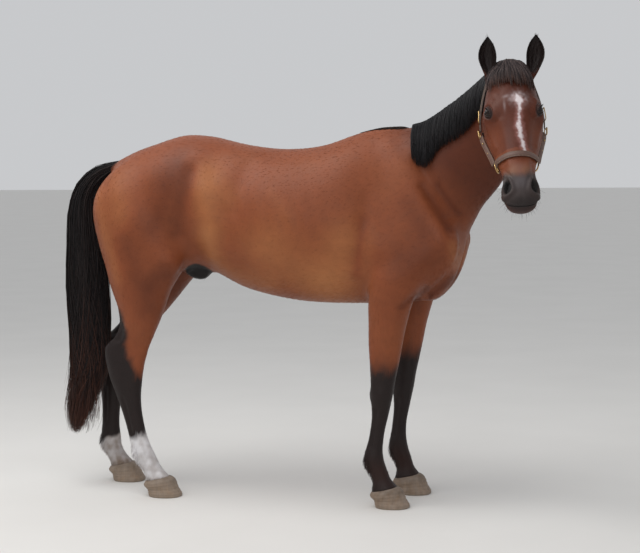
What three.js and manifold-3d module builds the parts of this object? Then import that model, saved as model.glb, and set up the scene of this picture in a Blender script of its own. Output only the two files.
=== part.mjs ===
// A bay horse, life size, standing square with its head turned to its right, in a leather halter.
// Millimetres. X runs from tail to breast, Y to the horse's left, Z up, and the floor is z = 0.
// The body is made of lofts joined into one solid, which thin cuts then part into named pieces.

import * as THREE from 'three';
import { mergeVertices } from 'three/addons/utils/BufferGeometryUtils.js';
import Module from 'manifold-3d';

const wasm = await Module();
wasm.setup();

// ---------- driving dimensions ----------

const GAP = 0.3;                // air between neighbouring pieces
const WITHERS = 1620;           // height at the withers: 16 hands
const CROUP = 1595;             // height of the croup, a little lower
const BACK = 1530;              // lowest place of the back
const GIRTH = 855;              // height of the breastbone behind the elbow
const BREAST = 370;             // front of the breast
const BUTTOCK = BREAST - WITHERS;   // the body is as long as the horse is tall
const FORE_TRACK = 148;         // middle of the trunk to the middle of a forefoot
const HIND_TRACK = 142;         // middle of the trunk to the middle of a hind foot
const FORE_STAGGER = 31;        // how far the left forefoot stands ahead of the right
const HOOF_TOP = 74;            // height of the middle of the coronet
const EYE_RADIUS = 22;
const EYE_STATION = 206;        // poll to eye, along the face
const EYE_DEPTH = 44;           // face line to the middle of the eyeball
const EYE_OUT = 91;             // middle of the head to the middle of the eyeball
const POLL = new THREE.Vector3(612, -412, 1862);
const HEAD_ALONG = new THREE.Vector3(0.142, -0.44, -0.886).normalize();
const HEAD_OUT = new THREE.Vector3(0.178, -0.873, 0.454);
const EAR_LENGTH = 172;
const STRAP_THICK = 5;
const STRAP_WIDE = 24;
const RING_RADIUS = 19;         // middle of the wire of a halter ring
const WIRE_RADIUS = 3;

// ---------- lofts ----------

const power = (value, exponent) => Math.sign(value) * Math.abs(value) ** (2 / exponent);

// Rows of numbers, the first of each being its place along the loft, read back smoothly.
function track(rows) {
  const places = rows.map((row) => row[0]);
  const values = rows.flatMap((row) => row.slice(1));
  const width = rows[0].length - 1;
  const curve = new THREE.CubicInterpolant(places, values, width, new Float64Array(width));
  return (place) => Array.from(curve.evaluate(place));
}

// Rings from the first row to the last, closer where the rows are closer.
// pointAt(place, values, cosine, sine) gives each point.
function loft(rows, rings, sides, pointAt) {
  const read = track(rows);
  const points = [];
  for (let i = 0; i < rings; i += 1) {
    const row = ((rows.length - 1) * i) / (rings - 1);
    const before = Math.min(Math.floor(row), rows.length - 2);
    const place = THREE.MathUtils.lerp(rows[before][0], rows[before + 1][0], row - before);
    const values = read(place);
    for (let j = 0; j < sides; j += 1) {
      const angle = (2 * Math.PI * j) / sides;
      points.push(pointAt(place, values, Math.cos(angle), Math.sin(angle)));
    }
  }
  return closedRings(points, rings, sides);
}

// Joins rings of points into one closed mesh with a fan at each end.
function closedRings(points, rings, sides) {
  const index = [];
  for (let i = 0; i < rings - 1; i += 1) {
    for (let j = 0; j < sides; j += 1) {
      const next = (j + 1) % sides;
      const a = i * sides + j;
      const b = i * sides + next;
      const c = (i + 1) * sides + j;
      const d = (i + 1) * sides + next;
      index.push(a, b, c, b, d, c);
    }
  }
  const middle = (start) => {
    const sum = new THREE.Vector3();
    for (let j = 0; j < sides; j += 1) {
      sum.add(points[start + j]);
    }
    return sum.divideScalar(sides);
  };
  const lastRing = (rings - 1) * sides;
  const all = [...points, middle(0), middle(lastRing)];
  for (let j = 0; j < sides; j += 1) {
    const next = (j + 1) % sides;
    index.push(points.length, next, j);
    index.push(points.length + 1, lastRing + j, lastRing + next);
  }
  const geometry = new THREE.BufferGeometry().setFromPoints(all);
  geometry.setIndex(index);
  return facingOut(geometry);
}

function signedVolume(geometry) {
  const place = geometry.attributes.position;
  const index = geometry.index;
  const a = new THREE.Vector3();
  const b = new THREE.Vector3();
  const c = new THREE.Vector3();
  let volume = 0;
  for (let i = 0; i < index.count; i += 3) {
    a.fromBufferAttribute(place, index.getX(i));
    b.fromBufferAttribute(place, index.getX(i + 1));
    c.fromBufferAttribute(place, index.getX(i + 2));
    volume += a.dot(b.cross(c)) / 6;
  }
  return volume;
}

function facingOut(geometry) {
  if (signedVolume(geometry) < 0) {
    const order = geometry.index.array;
    for (let i = 0; i < order.length; i += 3) {
      [order[i + 1], order[i + 2]] = [order[i + 2], order[i + 1]];
    }
  }
  return geometry;
}

// ---------- solids: only joined and cut ----------

function toSolid(geometry) {
  const bare = geometry.clone();
  bare.deleteAttribute('normal');
  bare.deleteAttribute('uv');
  const merged = mergeVertices(bare, 1e-3);
  return new wasm.Manifold(new wasm.Mesh({
    numProp: 3,
    vertProperties: new Float32Array(merged.attributes.position.array),
    triVerts: new Uint32Array(merged.index.array),
  }));
}

function toGeometry(solid) {
  const mesh = solid.getMesh();
  const geometry = new THREE.BufferGeometry();
  geometry.setAttribute('position', new THREE.BufferAttribute(mesh.vertProperties, 3));
  geometry.setIndex(new THREE.BufferAttribute(mesh.triVerts, 1));
  geometry.computeVertexNormals();
  return geometry;
}

const join = (...solids) => solids.reduce((whole, piece) => whole.add(piece));

// ---------- trunk ----------

// Height of the top line at the buttock, tail head, croup, loin, back, withers and breast.
const TOP_LINE = [
  [BUTTOCK, 1400], [-1210, 1475], [-1150, 1510], [-1010, 1560], [-870, CROUP], [-780, 1590],
  [-600, 1550], [-410, BACK], [-250, 1545], [-80, 1600], [40, WITHERS], [140, 1605],
  [280, 1395], [BREAST, 1190],
];

// Height of the underline at the buttock, thigh, flank, belly, girth and breast.
const UNDERLINE = [
  [BUTTOCK, 1270], [-1200, 1160], [-1080, 1030], [-940, 985], [-780, 990], [-600, 915],
  [-400, 870], [-60, GIRTH], [150, 865], [280, 905], [340, 1000], [BREAST, 1095],
];

// Half width, height of the widest line, and how square the upper and lower halves are
// (2 is an ellipse, less is peaked, more is boxy).
const GIRTHS = [
  [BUTTOCK, 60, 1340, 2.0, 2.0],
  [-1200, 132, 1325, 2.0, 2.0],
  [-1080, 215, 1290, 2.0, 2.0],
  [-930, 256, 1280, 2.0, 1.8],
  [-780, 266, 1290, 2.2, 1.75],
  [-660, 264, 1240, 2.25, 2.0],
  [-400, 294, 1195, 2.0, 2.3],
  [-140, 274, 1180, 1.85, 2.2],
  [40, 231, 1160, 1.65, 2.1],
  [240, 209, 1110, 1.9, 2.1],
  [320, 184, 1120, 2.0, 2.0],
  [355, 135, 1130, 2.0, 2.0],
  [BREAST, 62, 1140, 2.0, 2.0],
];

// Rows of the three lines together, closer towards both ends as the cosine is.
const TRUNK_RINGS = 26;
const TRUNK = Array.from({ length: TRUNK_RINGS }, (_, n) => {
  const share = (1 - Math.cos((Math.PI * n) / (TRUNK_RINGS - 1))) / 2;
  const x = THREE.MathUtils.lerp(BUTTOCK, BREAST, share);
  return [x, ...track(TOP_LINE)(x), ...track(UNDERLINE)(x), ...track(GIRTHS)(x)];
});

const trunkSolid = (extra) => toSolid(loft(TRUNK, TRUNK.length, 18, (x, values, cosine, sine) => {
  const [top, bottom, half, level, upper, lower] = values;
  const height = extra + (sine > 0 ? top - level : level - bottom);
  const square = sine > 0 ? upper : lower;
  const across = (half + extra) * power(cosine, square);
  return new THREE.Vector3(x, across, level + height * power(sine, square));
}));

// ---------- neck ----------

// Place along the neck, the crest point, the throat point, half width, squareness.
const NECK = [
  [0, -60, 0, 1560, 60, 0, 960, 150, 2.2],
  [1, 90, 0, 1602, 255, -5, 985, 172, 2.1],
  [2, 210, -8, 1636, 360, -18, 1126, 156, 2.0],
  [3, 325, -42, 1703, 430, -46, 1258, 126, 1.9],
  [4, 430, -100, 1774, 526, -92, 1375, 100, 1.85],
  [5, 520, -190, 1832, 560, -160, 1500, 84, 1.85],
  [6, 583, -290, 1858, 585, -240, 1625, 77, 1.9],
  [7, 614, -395, 1844, 606, -330, 1690, 70, 2.0],
];

// A point of the neck at a place along it, an angle round it and a height off its surface.
function neckSurface() {
  const read = track(NECK);
  const last = NECK[NECK.length - 1][0];
  const centreAt = (place) => {
    const [cx, cy, cz, tx, ty, tz] = read(THREE.MathUtils.clamp(place, 0, last));
    return new THREE.Vector3(cx + tx, cy + ty, cz + tz).multiplyScalar(0.5);
  };
  return (place, angle, offset) => {
    const [cx, cy, cz, tx, ty, tz, half, square] = read(place);
    const depth = new THREE.Vector3(cx - tx, cy - ty, cz - tz).multiplyScalar(0.5);
    const along = centreAt(place + 0.05).sub(centreAt(place - 0.05));
    const side = depth.clone().cross(along).normalize().multiplyScalar(half + offset);
    depth.setLength(depth.length() + offset);
    return centreAt(place)
      .addScaledVector(side, power(Math.cos(angle), square))
      .addScaledVector(depth, power(Math.sin(angle), square));
  };
}

function neckSolid(extra, rings = 12, sides = 18) {
  const at = neckSurface();
  const last = NECK[NECK.length - 1][0];
  const points = [];
  for (let i = 0; i < rings; i += 1) {
    for (let j = 0; j < sides; j += 1) {
      points.push(at((last * i) / (rings - 1), (2 * Math.PI * (j + 0.5)) / sides, extra));
    }
  }
  return toSolid(closedRings(points, rings, sides));
}

// ---------- head ----------

// Place from the poll to the lip, height of the face, depth of the jaw, half width, depth of
// the widest line, and how square the upper and lower halves are.
const HEAD = [
  [-40, -60, -150, 44, -100, 2.0, 2.0],
  [0, -18, -205, 66, -85, 2.0, 2.0],
  [40, -2, -238, 84, -88, 2.2, 2.2],
  [90, 8, -264, 97, -100, 2.3, 2.4],
  [135, 12, -276, 107, -104, 2.3, 2.6],
  [172, 10, -274, 114, -92, 2.3, 2.6],
  [206, 6, -268, 120, -82, 2.2, 2.5],
  [245, 2, -252, 115, -108, 2.05, 2.6],
  [295, 0, -228, 107, -124, 1.85, 2.5],
  [345, -1, -198, 95, -118, 1.8, 2.4],
  [392, -2, -170, 82, -100, 1.85, 2.3],
  [440, -3, -146, 71, -78, 1.95, 2.1],
  [485, -5, -134, 66, -64, 2.1, 2.0],
  [525, -9, -134, 69, -62, 2.2, 2.0],
  [560, -16, -134, 71, -64, 2.2, 2.0],
  [590, -28, -124, 64, -68, 2.2, 2.1],
  [612, -46, -110, 48, -74, 2.1, 2.1],
  [624, -66, -92, 26, -78, 2.0, 2.0],
];

const bump = (distance, reach) => Math.exp(-((distance / reach) ** 2));

// The bony rim over the eye, the hollow above it, the cheek ridge and the nostril.
function faceRelief(along, angle) {
  const up = Math.sin(angle);
  const rim = 7 * bump(along - EYE_STATION + 4, 36) * bump(up - 0.5, 0.25);
  const hollow = -7 * bump(along - 122, 32) * bump(up - 0.62, 0.25);
  const crest = 5 * bump(along - 305, 60) * bump(up - 0.15, 0.22);
  const nostril = 5 * bump(along - 560, 30) * bump(up - 0.35, 0.35);
  return rim + hollow + crest + nostril;
}

const HEAD_SIDE = HEAD_OUT.clone().cross(HEAD_ALONG).normalize();

// Head coordinates (along the face, to the head's left, out of the face) in the model's.
const headFrame = new THREE.Matrix4()
  .makeBasis(HEAD_ALONG, HEAD_SIDE, HEAD_ALONG.clone().cross(HEAD_SIDE).normalize())
  .setPosition(POLL);
const headPlace = (along, side, out) => new THREE.Vector3(along, side, out).applyMatrix4(headFrame);
const headTurn = (along, side, out) => (
  new THREE.Vector3(along, side, out).transformDirection(headFrame)
);

function headPoint(along, [top, bottom, half, level, upper, lower], cosine, sine, offset) {
  const height = offset + (sine > 0 ? top - level : level - bottom);
  const square = sine > 0 ? upper : lower;
  const relief = faceRelief(along, Math.asin(sine));
  const across = (half + relief + offset) * power(cosine, square);
  return headPlace(along, across, level + height * power(sine, square));
}

function headSurface() {
  const read = track(HEAD);
  return (along, angle, offset) => (
    headPoint(along, read(along), Math.cos(angle), Math.sin(angle), offset)
  );
}

const headLoft = (extra) => loft(HEAD, 22, 18, (along, values, cosine, sine) => (
  headPoint(along, values, cosine, sine, extra)
));

// ---------- legs ----------

// Height, half depth, half width, how far the section leans out, rise towards the toe.
const FORELEG_SECTIONS = [
  [74, 58, 50, 0, 0.22],        // coronet
  [90, 50, 43, 0, 0.22],
  [110, 42, 36, 0, 0.2],        // pastern
  [140, 41, 32, 0, 0.14],
  [180, 44, 35, 0, 0.05],       // fetlock
  [215, 43, 36, 0, 0.0],
  [260, 37, 30, 0, 0.0],
  [310, 34, 28, 0, 0.0],        // cannon
  [390, 38, 31, 0, 0.0],
  [430, 43, 38, 0, 0.0],
  [480, 50, 46, 0, 0.0],        // knee
  [530, 54, 45, 0, 0.0],
  [600, 63, 49, 0, 0.0],
  [690, 74, 57, 5, 0.0],
  [780, 83, 69, 9, 0.0],        // forearm
  [900, 102, 82, 16, 0.0],
  [980, 120, 82, 16, 0.0],      // elbow
  [1060, 140, 74, 10, 0.0],
  [1140, 146, 62, 0, 0.0],      // point of the shoulder
  [1220, 132, 52, -14, 0.0],
  [1320, 100, 44, -34, 0.0],
  [1420, 66, 36, -56, 0.0],
  [1490, 34, 22, -76, 0.0],     // in the shoulder blade
];

// Height, middle along X.
const RIGHT_FORE_PATH = [
  [74, 38], [140, 15], [200, -7], [300, 4], [390, 20], [480, 28], [600, 39], [780, 57],
  [900, 80], [980, 118], [1060, 158], [1140, 178], [1220, 172], [1350, 126], [1490, 66],
];

const LEFT_FORE_PATH = RIGHT_FORE_PATH.map(
  ([z, x]) => [z, x + FORE_STAGGER + 14 * bump(z - 180, 110)],
);

const HINDLEG_SECTIONS = [
  [74, 54, 47, 0, 0.22],        // coronet
  [95, 47, 40, 0, 0.24],
  [120, 45, 35, 0, 0.2],        // pastern
  [150, 49, 36, 0, 0.12],
  [190, 50, 37, 0, 0.0],        // fetlock
  [220, 47, 34, 0, 0.0],
  [260, 44, 31, 0, 0.0],
  [330, 45, 31, 0, 0.0],        // cannon
  [390, 50, 34, 0, 0.0],
  [450, 60, 41, 0, 0.0],
  [510, 75, 47, 0, 0.0],
  [580, 90, 49, 0, 0.0],        // hock
  [630, 101, 46, 0, 0.0],
  [660, 104, 44, 0, 0.0],       // point of the hock
  [700, 92, 51, 2, 0.0],
  [740, 89, 61, 4, 0.0],
  [790, 96, 73, 6, 0.0],        // gaskin
  [850, 112, 86, 8, 0.0],
  [920, 138, 99, 8, 0.0],
  [980, 166, 112, 6, 0.0],
  [1070, 204, 121, 2, 0.0],     // stifle
  [1150, 213, 125, 0, 0.0],
  [1280, 211, 121, -6, 0.0],    // thigh
  [1340, 196, 114, -12, 0.0],
  [1400, 160, 98, -24, 0.0],
  [1450, 115, 76, -38, 0.0],
  [1490, 64, 44, -50, 0.0],     // in the croup
];

const RIGHT_HIND_PATH = [
  [74, -992], [110, -1015], [150, -1040], [220, -1070], [330, -1100], [450, -1125],
  [540, -1136], [620, -1134], [660, -1126], [700, -1096], [750, -1071], [830, -1053],
  [920, -1050], [1050, -1028], [1200, -1050], [1340, -1069], [1490, -1060],
];

const LEFT_HIND_PATH = [
  [74, -1276], [110, -1300], [150, -1325], [220, -1331], [330, -1328], [450, -1320],
  [540, -1304], [620, -1281], [660, -1264], [700, -1222], [750, -1178], [830, -1122],
  [920, -1078], [1050, -1034], [1200, -1050], [1340, -1069], [1490, -1060],
];

// Height, half depth, half width, middle ahead of the coronet's middle, rise towards the toe.
const HOOF_SECTIONS = [
  [0, 74, 63, 32, 0.0],
  [6, 75, 64, 32, 0.0],
  [30, 70, 59, 23, 0.06],
  [HOOF_TOP - GAP, 59, 51, 0, 0.22],
];

const RIGHT = -1;
const LEFT = 1;
const WORDS = { [RIGHT]: 'right', [LEFT]: 'left' };

const FORE = { name: 'foreleg', sections: FORELEG_SECTIONS, out: FORE_TRACK };
const HIND = { name: 'hindleg', sections: HINDLEG_SECTIONS, out: HIND_TRACK };
const LEGS = [
  { ...FORE, path: RIGHT_FORE_PATH, side: RIGHT },
  { ...FORE, path: LEFT_FORE_PATH, side: LEFT },
  { ...HIND, path: RIGHT_HIND_PATH, side: RIGHT },
  { ...HIND, path: LEFT_HIND_PATH, side: LEFT },
];

function legSolid({ sections, path, out, side }, extra = 0) {
  const middle = track(path);
  return toSolid(loft(sections, sections.length, 12, (z, [deep, wide, lean, rise], cosine, sine) => {
    const [x] = middle(z);
    const ahead = (deep + extra) * power(cosine, 2.15);
    const across = (wide + extra) * power(sine, 2.15);
    return new THREE.Vector3(x + ahead, side * (out + lean) + across, z + rise * ahead);
  }));
}

function hoofSolid({ path, out, side }) {
  const [coronet] = track(path)(HOOF_TOP);
  return toSolid(loft(HOOF_SECTIONS, 4, 14, (z, [deep, wide, shift, rise], cosine, sine) => {
    const ahead = deep * power(cosine, 2.2);
    const across = wide * power(sine, 2.2);
    return new THREE.Vector3(coronet + shift + ahead, side * out + across, z + rise * ahead);
  }));
}

// ---------- ears ----------

// Place up the ear, half width, depth of the back, wall, how far the edges curl round (degrees).
const EAR = [
  [0.0, 24, 26, 26, 60],
  [0.27, 27, 27, 20, 80],
  [0.38, 32, 29, 9, 96],
  [0.52, 36, 30, 6, 94],
  [0.67, 34, 26, 5, 86],
  [0.82, 25, 18, 4.5, 78],
  [0.934, 12, 9, 4, 70],
  [1.0, 3.5, 3, 3, 60],
];

const EAR_BASE = { along: 64, out: 74, under: 38 };

// A leaf rolled round its own length, open to the front and bent a little inwards at the tip.
function earSolid(side) {
  const sides = 8;
  const rings = 9;
  const read = track(EAR);
  const base = headPlace(EAR_BASE.along, side * EAR_BASE.out, -EAR_BASE.under);
  const up = new THREE.Vector3(0.03 + 0.14 * side, -0.05, 1).normalize();
  const front = new THREE.Vector3(0.16 - 0.12 * side, -0.98, 0.0);
  front.addScaledVector(up, -front.dot(up)).normalize();
  const across = up.clone().cross(front).normalize();
  const points = [];
  for (let i = 0; i < rings; i += 1) {
    const place = i / (rings - 1);
    const [half, depth, wall, curl] = read(place);
    const reach = THREE.MathUtils.degToRad(curl);
    const bend = side * (9 * Math.sin(Math.PI * place) - 3 * place);
    const outline = (inset, fromFront) => {
      for (let j = 0; j < sides; j += 1) {
        const turn = reach * ((2 * j) / (sides - 1) - 1) * (fromFront ? -1 : 1);
        const point = base.clone().addScaledVector(up, EAR_LENGTH * place);
        point.addScaledVector(across, bend + (half - inset) * Math.sin(turn));
        point.addScaledVector(front, -(depth - inset) * Math.cos(turn));
        points.push(point);
      }
    };
    outline(0, false);
    outline(wall, true);
  }
  return toSolid(closedRings(points, rings, 2 * sides));
}

// ---------- hair ----------

// A closed slab between two offsets of a surface: pointAt(u, v, offset) for u and v in 0 to 1.
function slab(columns, rings, pointAt, inner, outer) {
  const points = [];
  for (let i = 0; i < rings; i += 1) {
    const v = i / (rings - 1);
    for (let j = 0; j < columns; j += 1) {
      const u = j / (columns - 1);
      points.push(pointAt(u, v, outer));
    }
    for (let j = columns - 1; j >= 0; j -= 1) {
      const u = j / (columns - 1);
      points.push(pointAt(u, v, inner));
    }
  }
  return toSolid(closedRings(points, rings, 2 * columns));
}

const MANE_FROM = 1.3;          // places along the neck
const MANE_TO = 6.2;
const MANE_THICK = 13;
const CURTAIN = 45;             // how far a curtain reaches either side of the skin

// The mane falls from the crest to the right; its length grows and shrinks along the neck.
function maneSolid() {
  const at = neckSurface();
  const pointAt = (u, v, offset) => {
    const place = MANE_FROM + (MANE_TO - MANE_FROM) * v;
    const fall = 0.42 + 0.36 * Math.sin(Math.PI * Math.min(1, v * 0.9 + 0.15));
    const angle = Math.PI / 2 - 0.12 + u * (Math.PI / 2 + 0.16) * fall * 1.18;
    return at(place, angle, offset);
  };
  return neckSolid(MANE_THICK).intersect(slab(5, 9, pointAt, -CURTAIN, CURTAIN));
}

const FORELOCK_FROM = -14;      // places along the head
const FORELOCK_TO = 104;
const FORELOCK_THICK = 11;

function forelockSolid() {
  const at = headSurface();
  const pointAt = (u, v, offset) => {
    const place = FORELOCK_FROM + (FORELOCK_TO - FORELOCK_FROM) * v;
    const spread = THREE.MathUtils.degToRad(46 - 12 * v);
    return at(place, Math.PI / 2 + spread * (2 * u - 1), offset);
  };
  const curtain = slab(5, 4, pointAt, -CURTAIN, CURTAIN);
  return toSolid(headLoft(FORELOCK_THICK)).intersect(curtain);
}

// Place down the tail, X, height, half depth, half width.
const TAIL = [
  [0, -1150, 1475, 20, 24],
  [1, -1230, 1455, 30, 30],
  [2, -1305, 1420, 44, 40],
  [3, -1360, 1350, 60, 50],
  [4, -1380, 1250, 76, 57],
  [5, -1375, 1090, 93, 62],
  [6, -1370, 900, 104, 65],
  [7, -1365, 700, 100, 64],
  [8, -1375, 540, 91, 60],
  [9, -1405, 430, 64, 52],
  [10, -1430, 330, 45, 40],
  [11, -1450, 240, 18, 18],
];

function tailSolid() {
  const sides = 12;
  const rings = 16;
  const read = track(TAIL);
  const span = TAIL[TAIL.length - 1][0];
  const middle = (place) => {
    const [x, z] = read(THREE.MathUtils.clamp(place, 0, span));
    return new THREE.Vector3(x, 0, z);
  };
  const points = [];
  for (let i = 0; i < rings; i += 1) {
    const place = (span * i) / (rings - 1);
    const [, , deep, wide] = read(place);
    const along = middle(place + 0.1).sub(middle(place - 0.1)).normalize();
    for (let j = 0; j < sides; j += 1) {
      const angle = (2 * Math.PI * (j + 0.5)) / sides;
      const point = middle(place);
      point.x += deep * Math.cos(angle) * along.z;
      point.z -= deep * Math.cos(angle) * along.x;
      point.y = wide * Math.sin(angle);
      points.push(point);
    }
  }
  return toSolid(closedRings(points, rings, sides));
}

// ---------- put the body together ----------

const headSolid = (extra) => toSolid(headLoft(extra));
const sheath = new THREE.SphereGeometry(1, 12, 8).scale(74, 42, 54).translate(-828, 0, 1002);

function wholeBody(extra) {
  const lofts = [neckSolid(extra), headSolid(extra), toSolid(sheath)];
  return join(trunkSolid(extra), ...lofts, ...LEGS.map((leg) => legSolid(leg, extra)));
}

const eyePlace = (side) => headPlace(EYE_STATION, side * EYE_OUT, -EYE_DEPTH);

function eyeSolid(side, radius) {
  const ball = new THREE.IcosahedronGeometry(radius, 1);
  return toSolid(ball.translate(...eyePlace(side).toArray()));
}

// Splits a solid with a block into the part inside it and the part outside, a gap apart.
function split(solid, blockAt) {
  return [solid.intersect(blockAt(-GAP / 2)), solid.subtract(blockAt(GAP / 2))];
}

// A block with its near face through a point, square to a direction, grown on every side.
function blockFrom(point, direction, sideways, size) {
  const out = direction.clone().normalize();
  const across = sideways.clone().addScaledVector(out, -sideways.dot(out)).normalize();
  const third = out.clone().cross(across);
  return (grown) => {
    const box = new THREE.BoxGeometry(size.x + 2 * grown, size.y + 2 * grown, size.z + 2 * grown);
    const centre = point.clone().addScaledVector(out, size.x / 2);
    const frame = new THREE.Matrix4().makeBasis(out, across, third).setPosition(centre);
    return toSolid(box.applyMatrix4(frame));
  };
}

const Y_AXIS = new THREE.Vector3(0, 1, 0);
const X_AXIS = new THREE.Vector3(1, 0, 0);

function headBlock() {
  const out = headTurn(0.882, 0, 0.471);
  return blockFrom(headPlace(68, 0, -185), out, HEAD_SIDE, new THREE.Vector3(900, 420, 390));
}

function neckBlock() {
  const middle = new THREE.Vector3(247, 0, 1420);
  const out = new THREE.Vector3(0.897, 0, 0.441);
  return blockFrom(middle, out, Y_AXIS, new THREE.Vector3(1200, 2200, 1600));
}

function earBlock(side) {
  const middle = headPlace(EAR_BASE.along, side * EAR_BASE.out, -EAR_BASE.under);
  middle.x += 18 * side;
  middle.z += 0.36 * EAR_LENGTH;
  const out = new THREE.Vector3(0.08 * side, 0, 1);
  return blockFrom(middle, out, X_AXIS, new THREE.Vector3(250, 82, 84));
}

// All that lies below a slanting plane, on one side of the horse and near one leg.
function legBlock(side, { x, reach, inside, through, slope }) {
  const middle = new THREE.Vector3(x, side * through.y, through.z);
  const below = blockFrom(middle, slope, X_AXIS, new THREE.Vector3(3000, 3000, 3000));
  const inner = new THREE.Vector3(x, side * inside, 700);
  const sideways = new THREE.Vector3(0, side, 0);
  const around = blockFrom(inner, sideways, X_AXIS, new THREE.Vector3(500, reach, 1500));
  return (grown) => below(grown).intersect(around(grown));
}

const forelegBlock = (side) => legBlock(side, {
  x: 100,
  reach: 310,
  inside: 10,
  through: { y: 150, z: 885 },
  slope: new THREE.Vector3(0, side * 0.55, -0.83),
});
const hindlegBlock = (side) => legBlock(side, {
  x: -1090,
  reach: 620,
  inside: 43,
  through: { y: 150, z: 1050 },
  slope: new THREE.Vector3(0.05, side * 0.72, -0.69),
});

// ---------- halter ----------

const skin = new THREE.Mesh(
  toGeometry(join(neckSolid(0), headSolid(0))),
  new THREE.MeshBasicMaterial({ side: THREE.DoubleSide }),
);
const AXIS_DEPTH = 110;         // face line to the line that the strap angles turn about

// The point of the skin at a place along the head and an angle round it (90 is the face).
function onHead(along, degrees, lift) {
  const angle = THREE.MathUtils.degToRad(degrees);
  const start = headPlace(along, 0, -AXIS_DEPTH);
  const way = headTurn(0, Math.cos(angle), Math.sin(angle));
  const hits = new THREE.Raycaster(start, way).intersectObject(skin);
  return { point: start.addScaledVector(way, hits[0].distance + lift), out: way };
}

// A flat strap laid on the head along [place, angle] steps, trimmed at both ends.
function strapSolid(steps, { wide = STRAP_WIDE, lift = 4, pieces = 12, trim = [0, 0] }) {
  const stops = steps.map(([along, turn]) => new THREE.Vector3(along, turn, 0));
  const plan = new THREE.CatmullRomCurve3(stops);
  const samples = plan.getSpacedPoints(48).map(({ x, y }) => onHead(x, y, lift));
  const laid = new THREE.CatmullRomCurve3(samples.map((sample) => sample.point));
  const length = laid.getLength();
  const from = trim[0] / length;
  const to = 1 - trim[1] / length;
  const points = [];
  for (let i = 0; i <= pieces; i += 1) {
    const place = from + ((to - from) * i) / pieces;
    const point = laid.getPointAt(place);
    const along = laid.getTangentAt(place);
    const out = samples[Math.round(place * (samples.length - 1))].out.clone();
    out.addScaledVector(along, -out.dot(along)).normalize();
    const across = along.clone().cross(out).multiplyScalar(wide / 2);
    const thick = out.multiplyScalar(STRAP_THICK);
    points.push(point.clone().sub(across), point.clone().add(across));
    points.push(point.clone().add(across).add(thick), point.clone().sub(across).add(thick));
  }
  return toSolid(closedRings(points, pieces + 1, 4));
}

function ringSolid(along, degrees, lift, tilt = 0) {
  const { point, out } = onHead(along, degrees, lift);
  const axis = out.clone().applyAxisAngle(HEAD_SIDE, tilt);
  const turn = new THREE.Quaternion().setFromUnitVectors(new THREE.Vector3(0, 0, 1), axis);
  const wire = new THREE.TorusGeometry(RING_RADIUS, WIRE_RADIUS, 4, 12);
  return toSolid(wire.applyQuaternion(turn).translate(point.x, point.y, point.z));
}

function buckleSolid(along, degrees, lift) {
  const { point, out } = onHead(along, degrees, lift);
  const up = onHead(along - 20, degrees, lift).point.sub(point).normalize();
  const across = up.clone().cross(out).normalize();
  const frame = new THREE.Matrix4().makeBasis(across, up, across.clone().cross(up));
  frame.setPosition(point);
  const plate = toSolid(new THREE.BoxGeometry(STRAP_WIDE + 8, 30, 4));
  const window = toSolid(new THREE.BoxGeometry(STRAP_WIDE, 21, 12));
  return toSolid(toGeometry(plate.subtract(window)).applyMatrix4(frame));
}

// The same steps on the other side of the head.
const mirrored = (steps, side) => (
  steps.map(([along, turn]) => [along, side === LEFT ? turn : 180 - turn])
);

const RING_AT = [406, -14];
const CHEEK_TOP = [246, -24];
const CHIN_AT = [398, -90];
const THROAT_AT = [162, -90];
const RING_TRIM = RING_RADIUS + WIRE_RADIUS + 1;

// Steps down the left side to the middle of the jaw, then up the right side. Angles under the
// jaw run on past -90 instead of starting again at 270.
function underJaw(steps) {
  const back = mirrored(steps, RIGHT).reverse().slice(1);
  return [...steps, ...back.map(([along, turn]) => [along, turn - 360])];
}

function halterPieces() {
  const overNose = [RING_AT, [408, 30], [412, 90], [408, 150], mirrored([RING_AT], RIGHT)[0]];
  const pieces = [
    ['halter_noseband', strapSolid(overNose, { pieces: 14, trim: [RING_TRIM, RING_TRIM] })],
    ['halter_crown', strapSolid([
      CHEEK_TOP, [172, -14], [100, -8], [36, 0], [-8, 26], [-24, 58], [-28, 90],
      [-24, 122], [-8, 154], [36, 180], [100, 188], [172, 194], mirrored([CHEEK_TOP], RIGHT)[0],
    ], { lift: 6, pieces: 24, trim: [18, 18] })],
    ['halter_jaw_strap', strapSolid([CHIN_AT, [300, -90], [230, -90], THROAT_AT],
      { wide: 18, pieces: 6, trim: [RING_TRIM + 8, 15] })],
  ];
  const throat = underJaw([CHEEK_TOP, [206, -44], [174, -70], THROAT_AT]);
  pieces.push(['halter_throat_strap', strapSolid(throat, { wide: 18, pieces: 18, trim: [18, 18] })]);
  const chin = strapSolid(underJaw([RING_AT, [402, -45], CHIN_AT]), {
    wide: 18, lift: 7, pieces: 10, trim: [RING_TRIM, RING_TRIM],
  });
  pieces.push(['halter_chin_strap', chin]);
  for (const [side, word] of [[RIGHT, 'right'], [LEFT, 'left']]) {
    const cheek = mirrored([RING_AT, [330, -20], CHEEK_TOP], side);
    const cheekPiece = strapSolid(cheek, { lift: 9, pieces: 8, trim: [RING_TRIM, 0] });
    pieces.push([`halter_cheek_${word}`, cheekPiece]);
    const [ringAlong, ringTurn] = mirrored([RING_AT], side)[0];
    pieces.push([`halter_ring_${word}`, ringSolid(ringAlong, ringTurn, 8)]);
    const [topAlong, topTurn] = mirrored([CHEEK_TOP], side)[0];
    pieces.push([`halter_buckle_${word}`, buckleSolid(topAlong - 8, topTurn, 16.3)]);
  }
  pieces.push(['halter_ring_chin', ringSolid(CHIN_AT[0], CHIN_AT[1], 16)]);
  return pieces;
}

// ---------- colours and assembly ----------

const BAY = 0x7d4630;
const BLACK = 0x17140f;
const LEATHER = 0x5a4238;
const BRASS = 0xb08d4a;
const HORN = 0x7d6a57;

const group = new THREE.Group();

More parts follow.
